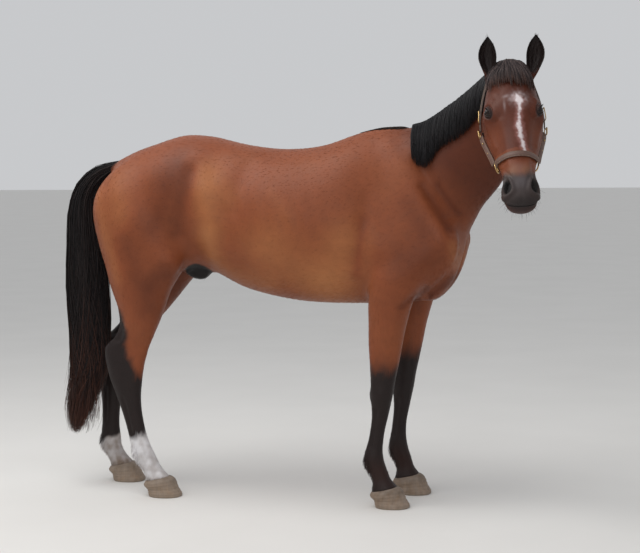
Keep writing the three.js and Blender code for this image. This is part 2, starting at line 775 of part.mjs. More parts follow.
function addPiece(name, solid, colour, roughness, metalness = 0) {
  const material = new THREE.MeshStandardMaterial({ color: colour, roughness, metalness });
  const mesh = new THREE.Mesh(toGeometry(solid), material);
  mesh.name = name;
  group.add(mesh);
}

function build() {
  let rest = wholeBody(0);
  for (const side of [RIGHT, LEFT]) {
    rest = rest.subtract(eyeSolid(side, EYE_RADIUS + GAP));
    addPiece(`eye_${WORDS[side]}`, eyeSolid(side, EYE_RADIUS), BLACK, 0.1);
  }
  const ears = { [RIGHT]: earSolid(RIGHT), [LEFT]: earSolid(LEFT) };
  rest = join(rest, ears[RIGHT], ears[LEFT]);
  for (const side of [RIGHT, LEFT]) {
    const [ear, others] = split(rest, earBlock(side));
    addPiece(`ear_${WORDS[side]}`, ear, BLACK, 0.7);
    rest = others;
  }
  const [head, body] = split(rest, headBlock());
  addPiece('head', head, BAY, 0.6);
  rest = body;
  for (const leg of LEGS) {
    const block = leg.name === FORE.name ? forelegBlock(leg.side) : hindlegBlock(leg.side);
    const [limb, others] = split(rest, block);
    const word = WORDS[leg.side];
    addPiece(`${leg.name}_${word}`, limb, BAY, 0.6);
    addPiece(`${leg.name.replace('leg', 'hoof')}_${word}`, hoofSolid(leg), HORN, 0.5);
    rest = others;
  }
  const [neck, trunk] = split(rest, neckBlock());
  addPiece('neck', neck, BAY, 0.6);
  addPiece('trunk', trunk, BAY, 0.6);
  const cover = join(wholeBody(GAP), ears[RIGHT], ears[LEFT]);
  const mane = maneSolid().subtract(cover);
  addPiece('mane', mane, BLACK, 0.6);
  const forelock = forelockSolid().subtract(join(cover, mane));
  addPiece('forelock', forelock, BLACK, 0.6);
  addPiece('tail', tailSolid().subtract(cover), BLACK, 0.6);
  const worn = join(cover, mane, forelock);
  for (const [name, whole] of halterPieces()) {
    const solid = whole.subtract(worn);
    const metal = name.includes('ring') || name.includes('buckle');
    addPiece(name, solid, metal ? BRASS : LEATHER, metal ? 0.35 : 0.55, metal ? 1 : 0);
  }
}

build();

// The origin is the middle of the bottom of the whole horse's box.
const box = new THREE.Box3().setFromObject(group);
const middle = box.getCenter(new THREE.Vector3());
group.position.set(-middle.x, -middle.y, -box.min.z);

export default group;
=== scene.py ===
"""A life-size bay horse, standing with its head turned to its right, in a leather halter."""

import math

import bmesh
import bpy
import numpy as np
from bpy.props import FloatProperty, FloatVectorProperty, IntProperty, PointerProperty
from mathutils import Matrix, Vector
from mathutils.bvhtree import BVHTree


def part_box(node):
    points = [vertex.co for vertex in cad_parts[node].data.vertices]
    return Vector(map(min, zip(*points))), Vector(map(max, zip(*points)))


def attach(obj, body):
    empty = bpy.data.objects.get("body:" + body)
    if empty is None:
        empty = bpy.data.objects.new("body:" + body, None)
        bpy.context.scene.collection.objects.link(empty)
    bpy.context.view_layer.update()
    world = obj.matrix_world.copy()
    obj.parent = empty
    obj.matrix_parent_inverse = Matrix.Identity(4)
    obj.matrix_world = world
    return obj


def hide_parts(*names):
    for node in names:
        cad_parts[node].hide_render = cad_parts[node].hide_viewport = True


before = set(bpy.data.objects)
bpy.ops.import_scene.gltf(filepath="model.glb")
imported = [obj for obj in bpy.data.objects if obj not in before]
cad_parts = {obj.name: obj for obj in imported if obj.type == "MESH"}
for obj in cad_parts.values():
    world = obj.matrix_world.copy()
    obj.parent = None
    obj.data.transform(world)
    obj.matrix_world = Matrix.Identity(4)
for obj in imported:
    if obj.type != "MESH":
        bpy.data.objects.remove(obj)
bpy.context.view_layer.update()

bl_info = {
    "name": "Bay horse in a halter",
    "version": (1, 0, 0),
    "blender": (4, 5, 0),
    "location": "View3D > Sidebar > Horse",
    "description": "Builds a life-size standing bay horse over its packed solids",
    "category": "Add Mesh",
}

# Tables below are in millimetres from the floor under the withers, and MM makes metres of them.
MM = 0.001
_low, _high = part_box("forehoof_right")
ORIGIN = np.array([(_low[0] + _high[0]) / 2 - 0.062, (_low[1] + _high[1]) / 2 + 0.148, _low[2]])
SEED = 7
RIGHT, LEFT = -1, 1
SIDES = {RIGHT: "right", LEFT: "left"}


# ---------------------------------------------------------------- body tables

WITHERS = 1620      # height at the withers: 16 hands
CROUP = 1595        # height of the croup, a little lower
BACK = 1530         # lowest place of the back
GIRTH = 855         # height of the breastbone behind the elbow
BREAST = 370        # front of the breast
BUTTOCK = BREAST - WITHERS      # the body is as long as the horse is tall

# Height of the top line at the buttock, tail head, croup, loin, back, withers and breast.
TOP_LINE = [
    [BUTTOCK, 1400], [-1210, 1475], [-1150, 1510], [-1010, 1560], [-870, CROUP], [-780, 1590],
    [-600, 1550], [-410, BACK], [-250, 1545], [-80, 1600], [40, WITHERS], [140, 1605],
    [280, 1395], [BREAST, 1190],
]

# Height of the underline at the buttock, thigh, flank, belly, girth and breast.
UNDERLINE = [
    [BUTTOCK, 1270], [-1200, 1160], [-1080, 1030], [-940, 985], [-780, 990], [-600, 915],
    [-400, 870], [-60, GIRTH], [150, 865], [280, 905], [340, 1000], [BREAST, 1095],
]

# Half width, height of the widest line, and how square the upper and lower halves are
# (2 is an ellipse, less is peaked, more is boxy).
GIRTHS = [
    [BUTTOCK, 60, 1340, 2.0, 2.0],
    [-1200, 132, 1325, 2.0, 2.0],
    [-1080, 215, 1290, 2.0, 2.0],
    [-930, 256, 1280, 2.0, 1.8],
    [-780, 266, 1290, 2.2, 1.75],
    [-660, 264, 1240, 2.25, 2.0],
    [-400, 294, 1195, 2.0, 2.3],
    [-140, 274, 1180, 1.85, 2.2],
    [40, 231, 1160, 1.65, 2.1],
    [240, 209, 1110, 1.9, 2.1],
    [320, 184, 1120, 2.0, 2.0],
    [355, 135, 1130, 2.0, 2.0],
    [BREAST, 62, 1140, 2.0, 2.0],
]

# Place along the neck, the crest point, the throat point, half width, squareness.
NECK = [
    [0, -60, 0, 1560, 60, 0, 960, 150, 2.2],
    [1, 90, 0, 1602, 255, -5, 985, 172, 2.1],
    [2, 210, -8, 1636, 360, -18, 1126, 156, 2.0],
    [3, 325, -42, 1703, 430, -46, 1258, 126, 1.9],
    [4, 430, -100, 1774, 526, -92, 1375, 100, 1.85],
    [5, 520, -190, 1832, 560, -160, 1500, 84, 1.85],
    [6, 583, -290, 1858, 585, -240, 1625, 77, 1.9],
    [7, 614, -395, 1844, 606, -330, 1690, 70, 2.0],
]

# Middle of the plane where the neck leaves the trunk, and its way up the neck.
NECK_BASE, NECK_WAY = (247, 0, 1420), (0.897, 0, 0.441)
SHEATH = (-828, 0, 1002)

# Place from the poll to the lip, height of the face, depth of the jaw, half width, depth of
# the widest line, and how square the upper and lower halves are.
HEAD = [
    [-40, -60, -150, 44, -100, 2.0, 2.0],
    [0, -18, -205, 66, -85, 2.0, 2.0],
    [40, -2, -238, 84, -88, 2.2, 2.2],
    [90, 8, -264, 97, -100, 2.3, 2.4],
    [135, 12, -276, 107, -104, 2.3, 2.6],
    [172, 10, -274, 114, -92, 2.3, 2.6],
    [206, 6, -268, 120, -82, 2.2, 2.5],
    [245, 2, -252, 115, -108, 2.05, 2.6],
    [295, 0, -228, 107, -124, 1.85, 2.5],
    [345, -1, -198, 95, -118, 1.8, 2.4],
    [392, -2, -170, 82, -100, 1.85, 2.3],
    [440, -3, -146, 71, -78, 1.95, 2.1],
    [485, -5, -134, 66, -64, 2.1, 2.0],
    [525, -9, -134, 69, -62, 2.2, 2.0],
    [560, -16, -134, 71, -64, 2.2, 2.0],
    [590, -28, -124, 64, -68, 2.2, 2.1],
    [612, -46, -110, 48, -74, 2.1, 2.1],
    [624, -66, -92, 26, -78, 2.0, 2.0],
]

# Height, half depth, half width, how far the section leans out, rise towards the toe.
FORELEG = [
    [74, 58, 50, 0, 0.22],      # coronet
    [90, 50, 43, 0, 0.22],
    [110, 42, 36, 0, 0.2],      # pastern
    [140, 41, 32, 0, 0.14],
    [180, 44, 35, 0, 0.05],     # fetlock
    [215, 43, 36, 0, 0.0],
    [260, 37, 30, 0, 0.0],
    [310, 34, 28, 0, 0.0],      # cannon
    [390, 38, 31, 0, 0.0],
    [430, 43, 38, 0, 0.0],
    [480, 50, 46, 0, 0.0],      # knee
    [530, 54, 45, 0, 0.0],
    [600, 63, 49, 0, 0.0],
    [690, 74, 57, 5, 0.0],
    [780, 83, 69, 9, 0.0],      # forearm
    [900, 102, 82, 16, 0.0],
    [980, 120, 82, 16, 0.0],    # elbow
    [1060, 140, 74, 10, 0.0],
    [1140, 146, 62, 0, 0.0],    # point of the shoulder
    [1220, 132, 52, -14, 0.0],
    [1320, 100, 44, -34, 0.0],
    [1420, 66, 36, -56, 0.0],
    [1490, 34, 22, -76, 0.0],   # in the shoulder blade
]
HINDLEG = [
    [74, 54, 47, 0, 0.22],      # coronet
    [95, 47, 40, 0, 0.24],
    [120, 45, 35, 0, 0.2],      # pastern
    [150, 49, 36, 0, 0.12],
    [190, 50, 37, 0, 0.0],      # fetlock
    [220, 47, 34, 0, 0.0],
    [260, 44, 31, 0, 0.0],
    [330, 45, 31, 0, 0.0],      # cannon
    [390, 50, 34, 0, 0.0],
    [450, 60, 41, 0, 0.0],
    [510, 75, 47, 0, 0.0],
    [580, 90, 49, 0, 0.0],      # hock
    [630, 101, 46, 0, 0.0],
    [660, 104, 44, 0, 0.0],     # point of the hock
    [700, 92, 51, 2, 0.0],
    [740, 89, 61, 4, 0.0],
    [790, 96, 73, 6, 0.0],      # gaskin
    [850, 112, 86, 8, 0.0],
    [920, 138, 99, 8, 0.0],
    [980, 166, 112, 6, 0.0],
    [1070, 204, 121, 2, 0.0],   # stifle
    [1150, 213, 125, 0, 0.0],
    [1280, 211, 121, -6, 0.0],  # thigh
    [1340, 196, 114, -12, 0.0],
    [1400, 160, 98, -24, 0.0],
    [1450, 115, 76, -38, 0.0],
    [1490, 64, 44, -50, 0.0],   # in the croup
]

# A leg's path starts at the middle of the coronet and ends inside the trunk.
HOOF_TOP, LEG_TOP = 74, 1490
LEG_SQUARE = 2.15       # a leg's section is a little boxier than an ellipse
HEEL = 178              # height of the long hair at the back of the fetlock

# Height, middle along X.
FORE_PATH = [
    [74, 38], [140, 15], [200, -7], [300, 4], [390, 20], [480, 28], [600, 39], [780, 57],
    [900, 80], [980, 118], [1060, 158], [1140, 178], [1220, 172], [1350, 126], [1490, 66],
]
FORE_STAGGER = 31
RIGHT_HIND_PATH = [
    [74, -992], [110, -1015], [150, -1040], [220, -1070], [330, -1100], [450, -1125],
    [540, -1136], [620, -1134], [660, -1126], [700, -1096], [750, -1071], [830, -1053],
    [920, -1050], [1050, -1028], [1200, -1050], [1340, -1069], [1490, -1060],
]
LEFT_HIND_PATH = [
    [74, -1276], [110, -1300], [150, -1325], [220, -1331], [330, -1328], [450, -1320],
    [540, -1304], [620, -1281], [660, -1264], [700, -1222], [750, -1178], [830, -1122],
    [920, -1078], [1050, -1034], [1200, -1050], [1340, -1069], [1490, -1060],
]
LEG_TABLES = {
    ("fore", RIGHT): (FORELEG, FORE_PATH, 148),
    ("fore", LEFT): (
        FORELEG,
        [[z, x + FORE_STAGGER + 14 * math.exp(-(((z - 180) / 110) ** 2))] for z, x in FORE_PATH],
        148,
    ),
    ("hind", RIGHT): (HINDLEG, RIGHT_HIND_PATH, 142),
    ("hind", LEFT): (HINDLEG, LEFT_HIND_PATH, 142),
}

# Height, half depth, half width, middle ahead of the coronet's middle, rise to the toe.
HOOF = [
    [0, 73, 62, 32, 0.0],
    [3, 74.5, 63.5, 32, 0.0],
    [6, 75, 64, 32, 0.0],
    [30, 70, 59, 23, 0.06],
    [73.7, 59, 51, 0, 0.22],
    [77, 54, 46, -1, 0.22],
]

# Place down the tail, X, height, half depth, half width.
TAIL = [
    [0, -1150, 1475, 20, 24],
    [1, -1230, 1455, 30, 30],
    [2, -1305, 1420, 44, 40],
    [3, -1360, 1350, 60, 50],
    [4, -1380, 1250, 76, 57],
    [5, -1375, 1090, 93, 62],
    [6, -1370, 900, 104, 65],
    [7, -1365, 700, 100, 64],
    [8, -1375, 540, 91, 60],
    [9, -1405, 430, 64, 52],
    [10, -1430, 330, 45, 40],
    [11, -1450, 240, 18, 18],
]

# Place up the ear, half width, depth of the back, wall, how far the edges curl (degrees).
EAR = [
    [-0.14, 12, 13, 12, 60],
    [0.0, 19, 20, 18, 62],
    [0.14, 24, 25, 17, 72],
    [0.27, 28, 27, 9, 84],
    [0.38, 32, 29, 5.5, 96],
    [0.52, 36, 30, 4.5, 98],
    [0.67, 34, 26, 3.4, 90],
    [0.82, 25, 18, 3.0, 80],
    [0.934, 12, 9, 2.6, 70],
    [1.0, 2.5, 2, 1.8, 60],
]
EAR_LENGTH = 170
EAR_INSIDE = 0.955      # share of the ear's own size within which a face is inside it
EAR_BASE = (64, 74, -38)


# ---------------------------------------------------------------- arithmetic


def unit(v):
    """v over its own length, along the last axis."""
    return v / np.maximum(np.linalg.norm(v, axis=-1, keepdims=True), 1e-12)


def power(value, exponent):
    """The superellipse's arm: the size of value to the power 2 / exponent, with its sign."""
    return np.sign(value) * np.abs(value) ** (2 / exponent)


def bump(distance, reach=1.0):
    """A bell: e to the minus square of distance over reach."""
    return np.exp(-((distance / reach) ** 2))


def ease(value, start, end):
    """0 before start, 1 past end, and 3t^2 - 2t^3 between."""
    t = np.clip((value - start) / (end - start), 0, 1)
    return t * t * (3 - 2 * t)


def read_rows(rows, at):
    """Cubic through every row, whose slope at a row is the one its neighbours give."""
    rows = np.array(rows, float)
    place, values = rows[:, 0], rows[:, 1:]
    slope = np.gradient(values, place, axis=0)
    at = np.asarray(at, float)
    i = np.clip(np.searchsorted(place, at, side="right") - 1, 0, len(place) - 2)
    width = (place[i + 1] - place[i])[..., None]
    t = (at[..., None] - place[i][..., None]) / width
    first = (1 + 2 * t) * (1 - t) ** 2 * values[i] + t * (1 - t) ** 2 * width * slope[i]
    second = t * t * (3 - 2 * t) * values[i + 1] + t * t * (t - 1) * width * slope[i + 1]
    return first + second


def trunk_rows(count=61):
    """TOP_LINE, UNDERLINE and GIRTHS read together at places set closer towards both ends."""
    share = (1 - np.cos(np.linspace(0, np.pi, count))) / 2
    x = BUTTOCK + (BREAST - BUTTOCK) * share
    lines = [read_rows(rows, x) for rows in (TOP_LINE, UNDERLINE, GIRTHS)]
    return np.column_stack([x, *lines])


TRUNK = trunk_rows()


def spread(rows, count):
    """count places from the first row to the last, as many between each two rows."""
    places = [row[0] for row in rows]
    return np.interp(np.linspace(0, len(rows) - 1, count), np.arange(len(rows)), places)


def lengths_along(points):
    """Length of a path up to each of its points."""
    return np.concatenate([[0], np.cumsum(np.linalg.norm(np.diff(points, axis=0), axis=1))])


def at_lengths(rows, reach, at):
    """Rows given at some lengths, read straight between them at others."""
    return np.stack([np.interp(at, reach, column) for column in rows.T], 1)


def along_path(points, steps):
    """Points evenly spaced by length on straight runs between the given points."""
    points = np.array(points, float)
    reach = lengths_along(points)
    return at_lengths(points, reach, np.linspace(0, reach[-1], steps))


def curve(points, steps):
    """A smooth curve through points by read_rows on their length, cut in equal steps."""
    points = np.array(points, float)
    reach = lengths_along(points)
    fine = read_rows(np.column_stack([reach, points]), np.linspace(0, reach[-1], 8 * steps))
    return along_path(fine, steps)


def path_distance(points, path):
    """Distance from every point to a path of straight runs, in as many axes as the path."""
    path = np.array(path, float)
    best = np.full(len(points), np.inf)
    for start, end in zip(path[:-1], path[1:]):
        way = end - start
        t = np.clip((points - start) @ way / max(way @ way, 1e-9), 0, 1)
        best = np.minimum(best, np.linalg.norm(points - start - t[:, None] * way, axis=1))
    return best


def to_frame(points):
    """Millimetres of the tables to metres of the frame."""
    return points * MM + ORIGIN


def to_table(points):
    """Metres of the frame to millimetres of the tables."""
    return (points - ORIGIN) / MM


# ---------------------------------------------------------------- the head's own axes

POLL = np.array([612.0, -412.0, 1862.0])
HEAD_ALONG = unit(np.array([0.142, -0.44, -0.886]))
HEAD_SIDE = unit(np.cross(np.array([0.178, -0.873, 0.454]), HEAD_ALONG))
HEAD_AXES = np.stack([HEAD_ALONG, HEAD_SIDE, np.cross(HEAD_ALONG, HEAD_SIDE)])
EYE_RADIUS = 22
EYE_PLACE = (206, 91, -44)
LID_HALF, LID_RISE, LID_SLANT = 20.5, 13.5, 0.035    # the almond that the lids leave open
AXIS_DEPTH = 110        # how far below the face line the turns round the head are taken


def from_head(points):
    """Head millimetres (along the face, to its left, out of the face) to table ones."""
    return POLL + np.asarray(points, float) @ HEAD_AXES


def in_head(points):
    """Table millimetres to head ones."""
    return (points - POLL) @ HEAD_AXES.T


def on_left_half(head):
    """Head millimetres with the right half turned over onto the left."""
    return head * (1, 0, 1) + np.abs(head) * (0, 1, 0)


def eye_at(side):
    """Middle of an eyeball."""
    return from_head((EYE_PLACE[0], side * EYE_PLACE[1], EYE_PLACE[2]))


def eye_axes(side):
    """Rows: along the lids to the inner corner, up to the brow, and out of the eye."""
    out = unit(np.array([0.10, 0.90 * side, 0.42]))
    along = np.array([0.78, 0.0, 0.62])
    along = unit(along - out * (along @ out))
    up = np.cross(out, along)
    return np.stack([along, up * np.sign(up[2]), out]) @ HEAD_AXES


# ---------------------------------------------------------------- meshes


def add_mesh(name, points, *faces, smooth=True):
    """Puts points and arrays of faces, three or four corners a row, into a new object."""
    mesh = bpy.data.meshes.new(name)
    mesh.vertices.add(len(points))
    mesh.vertices.foreach_set("co", np.asarray(points, np.float32).ravel())
    corners = np.concatenate([f.ravel() for f in faces]).astype(np.int32)
    sizes = np.concatenate([np.full(len(f), f.shape[1]) for f in faces])
    starts = np.concatenate([[0], np.cumsum(sizes)[:-1]]).astype(np.int32)
    mesh.loops.add(len(corners))
    mesh.loops.foreach_set("vertex_index", corners)
    mesh.polygons.add(len(sizes))
    mesh.polygons.foreach_set("loop_start", starts)
    mesh.polygons.foreach_set("use_smooth", np.full(len(sizes), smooth))
    mesh.update(calc_edges=True)
    made = bpy.data.objects.new(name, mesh)
    bpy.context.scene.collection.objects.link(made)
    return made


def add_body(name, body, smooth=True):
    """A new object from points in table millimetres and arrays of faces."""
    points, *faces = body
    return add_mesh(name, to_frame(points), *faces, smooth=smooth)


def tube_faces(rings, sides):
    """Four-cornered faces between rings of one closed tube, pointing outwards."""
    i, j = np.meshgrid(np.arange(rings - 1), np.arange(sides), indexing="ij")
    a = i * sides + j
    b = i * sides + (j + 1) % sides
    return np.stack([a, b, b + sides, a + sides], -1).reshape(-1, 4)


def closed_tube(points):
    """Rings of points as one closed body: quads along it and a fan at each end."""
    rings, sides = points.shape[:2]
    flat = points.reshape(-1, 3)
    poles = np.stack([points[0].mean(0), points[-1].mean(0)])
    j = np.arange(sides)
    k = (j + 1) % sides
    first = np.stack([np.full(sides, len(flat)), k, j], 1)
    last = np.stack([np.full(sides, len(flat) + 1), j, k], 1)
    last[:, 1:] += (rings - 1) * sides
    quads = tube_faces(rings, sides)
    every = np.concatenate([flat, poles])
    triangles = np.concatenate([quads[:, :3], quads[:, [0, 2, 3]], first, last])
    a, b, c = (every[triangles[:, n]] - every.mean(0) for n in range(3))
    if np.einsum("ij,ij->", a, np.cross(b, c)) < 0:
        quads, first, last = quads[:, ::-1], first[:, ::-1], last[:, ::-1]
    return every, quads, np.concatenate([first, last])


def join_bodies(bodies):
    """Several (points, quads, triangles) as one."""
    points, quads, triangles, start = [], [], [], 0
    for p, q, t in bodies:
        points.append(p)
        quads.append(q + start)
        triangles.append(t + start)
        start += len(p)
    return np.concatenate(points), np.concatenate(quads), np.concatenate(triangles)


def locks(paths, width, thick, hint, sides=3):
    """Thin locks carried along (n, k) paths. Each ring is an ellipse of few sides, width
    across and thick along the hint, square to its path."""
    n, k = paths.shape[:2]
    ahead = unit(np.gradient(paths, axis=1))
    across = unit(np.cross(ahead, hint))
    up = np.cross(ahead, across)
    turn = 2 * np.pi * np.arange(sides) / sides
    ring = (
        width[..., None, None] * np.cos(turn)[:, None] * across[:, :, None]
        + thick[..., None, None] * np.sin(turn)[:, None] * up[:, :, None]
    )
    points = (paths[:, :, None] + ring).reshape(-1, 3)
    first = (np.arange(n) * k * sides)[:, None, None]
    quads = (tube_faces(k, sides)[None] + first).reshape(-1, 4)
    cap = np.stack([np.zeros(sides - 2, int), *np.arange(2, 0, -1)[:, None] + np.arange(sides - 2)], 1)
    caps = np.concatenate([cap, cap[:, ::-1] + (k - 1) * sides])
    return points, quads, (caps[None] + first).reshape(-1, 3)


def lock_values(values, k, sides=3):
    """Repeats one row per lock, or one per ring, for every corner point of locks()."""
    if values.ndim == 2:
        values = np.repeat(values[:, None], k, axis=1)
    return np.repeat(values[:, :, None], sides, axis=2).reshape(-1, values.shape[-1])


def paint(piece, name, values):
    """Stores a number or a colour for every point of a piece."""
    kind, key = ("FLOAT", "value") if values.ndim == 1 else ("FLOAT_COLOR", "color")
    if values.ndim == 2:
        values = np.column_stack([values, np.ones(len(values))])
    layer = piece.data.attributes.new(name, kind, "POINT")
    layer.data.foreach_set(key, values.astype(np.float32).ravel())


def fetched(items, name, kind=np.int32, width=1):
    """One property of all of a mesh's items in a row."""
    found = np.empty(len(items) * width, kind)
    items.foreach_get(name, found)
    return found


def add_bake_map(mesh, uv):
    """A bake map from one (u, v) for every corner of a mesh's faces."""
    layer = mesh.uv_layers.new(name="OFBake", do_init=False)
    layer.uv.foreach_set("vector", uv.astype(np.float32).ravel())


def unwrap(piece, uv):
    """Gives a piece its bake map from one (u, v) for every point."""
    add_bake_map(piece.data, uv[fetched(piece.data.loops, "vertex_index")])


def lock_patches(root, k, sides=3, patch=0.003):
    """A patch of the bake map for every lock: along it in u and round it in v."""
    t, j = np.meshgrid(np.linspace(0, patch, k), np.linspace(0, patch, sides), indexing="ij")
    return (root[:, None, None] + np.stack([t, j], -1)).reshape(-1, 2)


def points_of(mesh):
    """A mesh's points and their normals as arrays."""
    return [fetched(mesh.vertices, name, np.float32, 3).reshape(-1, 3).astype(float)
            for name in ("co", "normal")]


def move_points(mesh, points):
    """Puts a mesh's points at places in table millimetres."""
    mesh.vertices.foreach_set("co", to_frame(points).astype(np.float32).ravel())
    mesh.update()


def add_modifier(piece, name, kind, **settings):
    """A modifier with its settings."""
    made = piece.modifiers.new(name, kind)
    for key, value in settings.items():
        setattr(made, key, value)


def baked(piece):
    """Makes a piece's modifiers part of its mesh."""
    bpy.context.view_layer.update()
    shape = piece.evaluated_get(bpy.context.evaluated_depsgraph_get())
    mesh = bpy.data.meshes.new_from_object(shape)
    old = piece.data
    piece.modifiers.clear()
    piece.data = mesh
    bpy.data.meshes.remove(old)


def weigh(piece, name, weights, levels=24):
    """A vertex group whose weights are rounded to a few levels."""
    group = piece.vertex_groups.new(name=name)
    steps = np.rint(np.clip(weights, 0, 1) * levels).astype(int)
    for step in range(1, levels + 1):
        chosen = np.flatnonzero(steps == step)
        if len(chosen):
            group.add(chosen.tolist(), step / levels, "REPLACE")
    return name


def settle(piece, slot, *nodes):
    """Puts a finished piece on the one body in place of the nodes; the slot is not used."""
    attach(piece, "root")
    if nodes:
        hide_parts(*nodes)
    return piece


# ---------------------------------------------------------------- lofts of the body


def turns(count):
    """Cosine and sine of evenly spaced angles round a section."""
    angle = 2 * np.pi * np.arange(count) / count
    return np.cos(angle), np.sin(angle)


def angles_round(places, sides):
    """Every place with every angle of a section's sides, as two grids."""
    return np.meshgrid(places, 2 * np.pi * np.arange(sides) / sides, indexing="ij")


def stacked(*parts):
    """Arrays of unlike shapes side by side on a last axis."""
    return np.stack(np.broadcast_arrays(*parts), -1)


def half_section(up, top, bottom, level, upper, lower):
    """Height and power of the half of a section that up is on, above its widest line or not."""
    return np.where(up > 0, top - level, level - bottom), np.where(up > 0, upper, lower)


def outside(x, y, half_x, half_y, square):
    """How far outside a superellipse places are, on their own lines from its middle."""
    size = (np.abs(x / half_x) ** square + np.abs(y / half_y) ** square) ** (1 / square)
    return np.maximum((size - 1) * np.hypot(x, y) / np.maximum(size, 1e-6), 0)


def trunk_points(extra, rings=150, sides=112):
    """Superellipse sections across X, with one power above the widest line and one below."""
    x = spread(TRUNK, rings)
    top, bottom, half, level, *squares = read_rows(TRUNK, x).T[:, :, None]
    c, s = turns(sides)
    height, square = half_section(s, top, bottom, level, *squares)
    across = (half + extra) * power(c, square)
    return stacked(x[:, None], across, level + (extra + height) * power(s, square))


def neck_middle(place):
    row = read_rows(NECK, np.clip(place, 0, NECK[-1][0]))
    return (row[..., 0:3] + row[..., 3:6]) / 2


def neck_frames(place):
    """Middle, depth to the crest, way to the left, half width and squareness at places."""
    row = read_rows(NECK, place)
    depth = (row[..., 0:3] - row[..., 3:6]) / 2
    side = unit(np.cross(depth, neck_middle(place + 0.05) - neck_middle(place - 0.05)))
    return neck_middle(place), depth, side, row[..., 6:7], row[..., 7:8]


def neck_at(place, angle, offset):
    """Point at a place along the neck, an angle round it (a quarter turn is the crest, more
    goes down the right side) and a height off its surface."""
    middle, depth, side, half, square = neck_frames(place)
    offset = np.asarray(offset)[..., None]
    length = np.linalg.norm(depth, axis=-1, keepdims=True)
    across = side * (half + offset) * power(np.cos(angle)[..., None], square)
    return middle + across + depth / length * (length + offset) * power(
        np.sin(angle)[..., None], square
    )


def neck_points(extra, rings=90, sides=96):
    place, angle = angles_round(np.linspace(0, NECK[-1][0], rings), sides)
    return neck_at(place, angle, np.full(place.shape, float(extra)))


def face_relief(along, s):
    """The rim over the eye, the hollow above it, the cheek ridge and the nostril's swelling."""
    up = np.arcsin(np.clip(s, -1, 1))
    up = np.sin(up)
    rim = 7 * bump(along - 202, 36) * bump(up - 0.5, 0.25)
    hollow = -7 * bump(along - 122, 32) * bump(up - 0.62, 0.25)
    crest = 5 * bump(along - 305, 60) * bump(up - 0.15, 0.22)
    nostril = 5 * bump(along - 560, 30) * bump(up - 0.35, 0.35)
    return rim + hollow + crest + nostril


def head_at(along, angle, offset):
    """Point of the head at a place along the face, an angle round it (a quarter turn is the
    face line) and a height off its surface."""
    top, bottom, half, level, *squares = np.moveaxis(read_rows(HEAD, along), -1, 0)
    s = np.sin(angle)
    height, square = half_section(s, top, bottom, level, *squares)
    across = (half + face_relief(along, s) + offset) * power(np.cos(angle), square)
    return from_head(stacked(along, across, level + (offset + height) * power(s, square)))


def head_points(extra, rings=130, sides=112):
    return head_at(*angles_round(spread(HEAD, rings), sides), extra)


def leg_points(kind, side, extra, rings=170, sides=64):
    """Near-elliptic sections across Z that lean out and rise towards the toe."""
    table, path, out = LEG_TABLES[kind, side]
    z = spread(table, rings)
    deep, wide, lean, rise = read_rows(table, z).T[:, :, None]
    middle = read_rows(path, z)
    c, s = turns(sides)
    ahead = (deep + extra) * power(c, LEG_SQUARE)
    across = side * (out + lean) + (wide + extra) * power(s, LEG_SQUARE)
    return stacked(middle + ahead, across, z[:, None] + rise * ahead)


def ball_points(middle, radii, rings=40, sides=48):
    """An ellipsoid about a point, its poles on X."""
    turn = np.linspace(0.02, np.pi - 0.02, rings)[:, None]
    c, s = turns(sides)
    ring = np.sin(turn)
    return stacked(-np.cos(turn), ring * c, ring * s) * radii + middle


def tail_frames(place):
    """Middle of the tail, its half sizes, and the way across it in the middle plane."""
    x, z, deep, wide = np.moveaxis(read_rows(TAIL, place), -1, 0)
    low, high = (
        read_rows(TAIL, np.clip(place + d, 0, TAIL[-1][0]))[..., 0:2] for d in (-0.1, 0.1)
    )
    way = unit(high - low)
    across = np.stack([way[..., 1], np.zeros_like(x), -way[..., 0]], -1)
    return np.stack([x, np.zeros_like(x), z], -1), deep, wide, across


def dock_points(size):
    """The tail's fleshy root: the first stretch of the tail, narrowed."""
    place = np.linspace(0, 3.2, 40)
    middle, deep, wide, across = tail_frames(place)
    c, s = turns(40)
    narrow = size * (1 - 0.35 * place / 3.2)
    deep, wide = (deep * narrow)[:, None, None], (wide * narrow)[:, None]
    points = middle[:, None] + deep * c[:, None] * across[:, None]
    points[..., 1] += wide * s
    return points


# ---------------------------------------------------------------- ears


def ear_axes(side):
    """Base of the ear and its ways up, to the open front and across."""
    base = from_head((EAR_BASE[0], side * EAR_BASE[1], EAR_BASE[2]))
    up = unit(np.array([0.03 + 0.14 * side, -0.05, 1.0]))
    front = np.array([0.16 - 0.12 * side, -0.98, 0.0])
    front = unit(front - up * (front @ up))
    return base, up, front, np.cross(up, front)


def ear_bend(side, place):
    """How far across the middle line of an ear is bent at places up it."""
    return side * (9 * np.sin(np.pi * place) - 3 * place)


def ear_points(side, inset=0.0, top=1.0, rings=76, sides=34):
    """A leaf rolled round its own length, open to the front, bent in a little at the tip."""
    base, up, front, across = ear_axes(side)
    place = np.linspace(EAR[0][0], top, rings)
    half, depth, wall, curl = read_rows(EAR, place).T[:, :, None]
    half, depth = half - inset, depth - inset
    bend = ear_bend(side, place)[:, None]
    turn = np.linspace(-1, 1, sides)
    lip = 1 - 0.25 * np.abs(turn) ** 3
    outer = np.radians(curl) * turn
    fold = 1.6 * np.sin(4 * np.pi * turn) * bump(place[:, None] - 0.45, 0.3)
    x = np.concatenate(
        [half * np.sin(outer), (half - wall * lip) * np.sin(-outer)], 1
    )
    y = np.concatenate(
        [depth * np.cos(outer), (depth - wall * lip + fold) * np.cos(-outer)], 1
    )
    height = EAR_LENGTH * place[:, None, None]
    return base + up * height + across * (bend + x)[..., None] - front * y[..., None]


# ---------------------------------------------------------------- sculpted relief

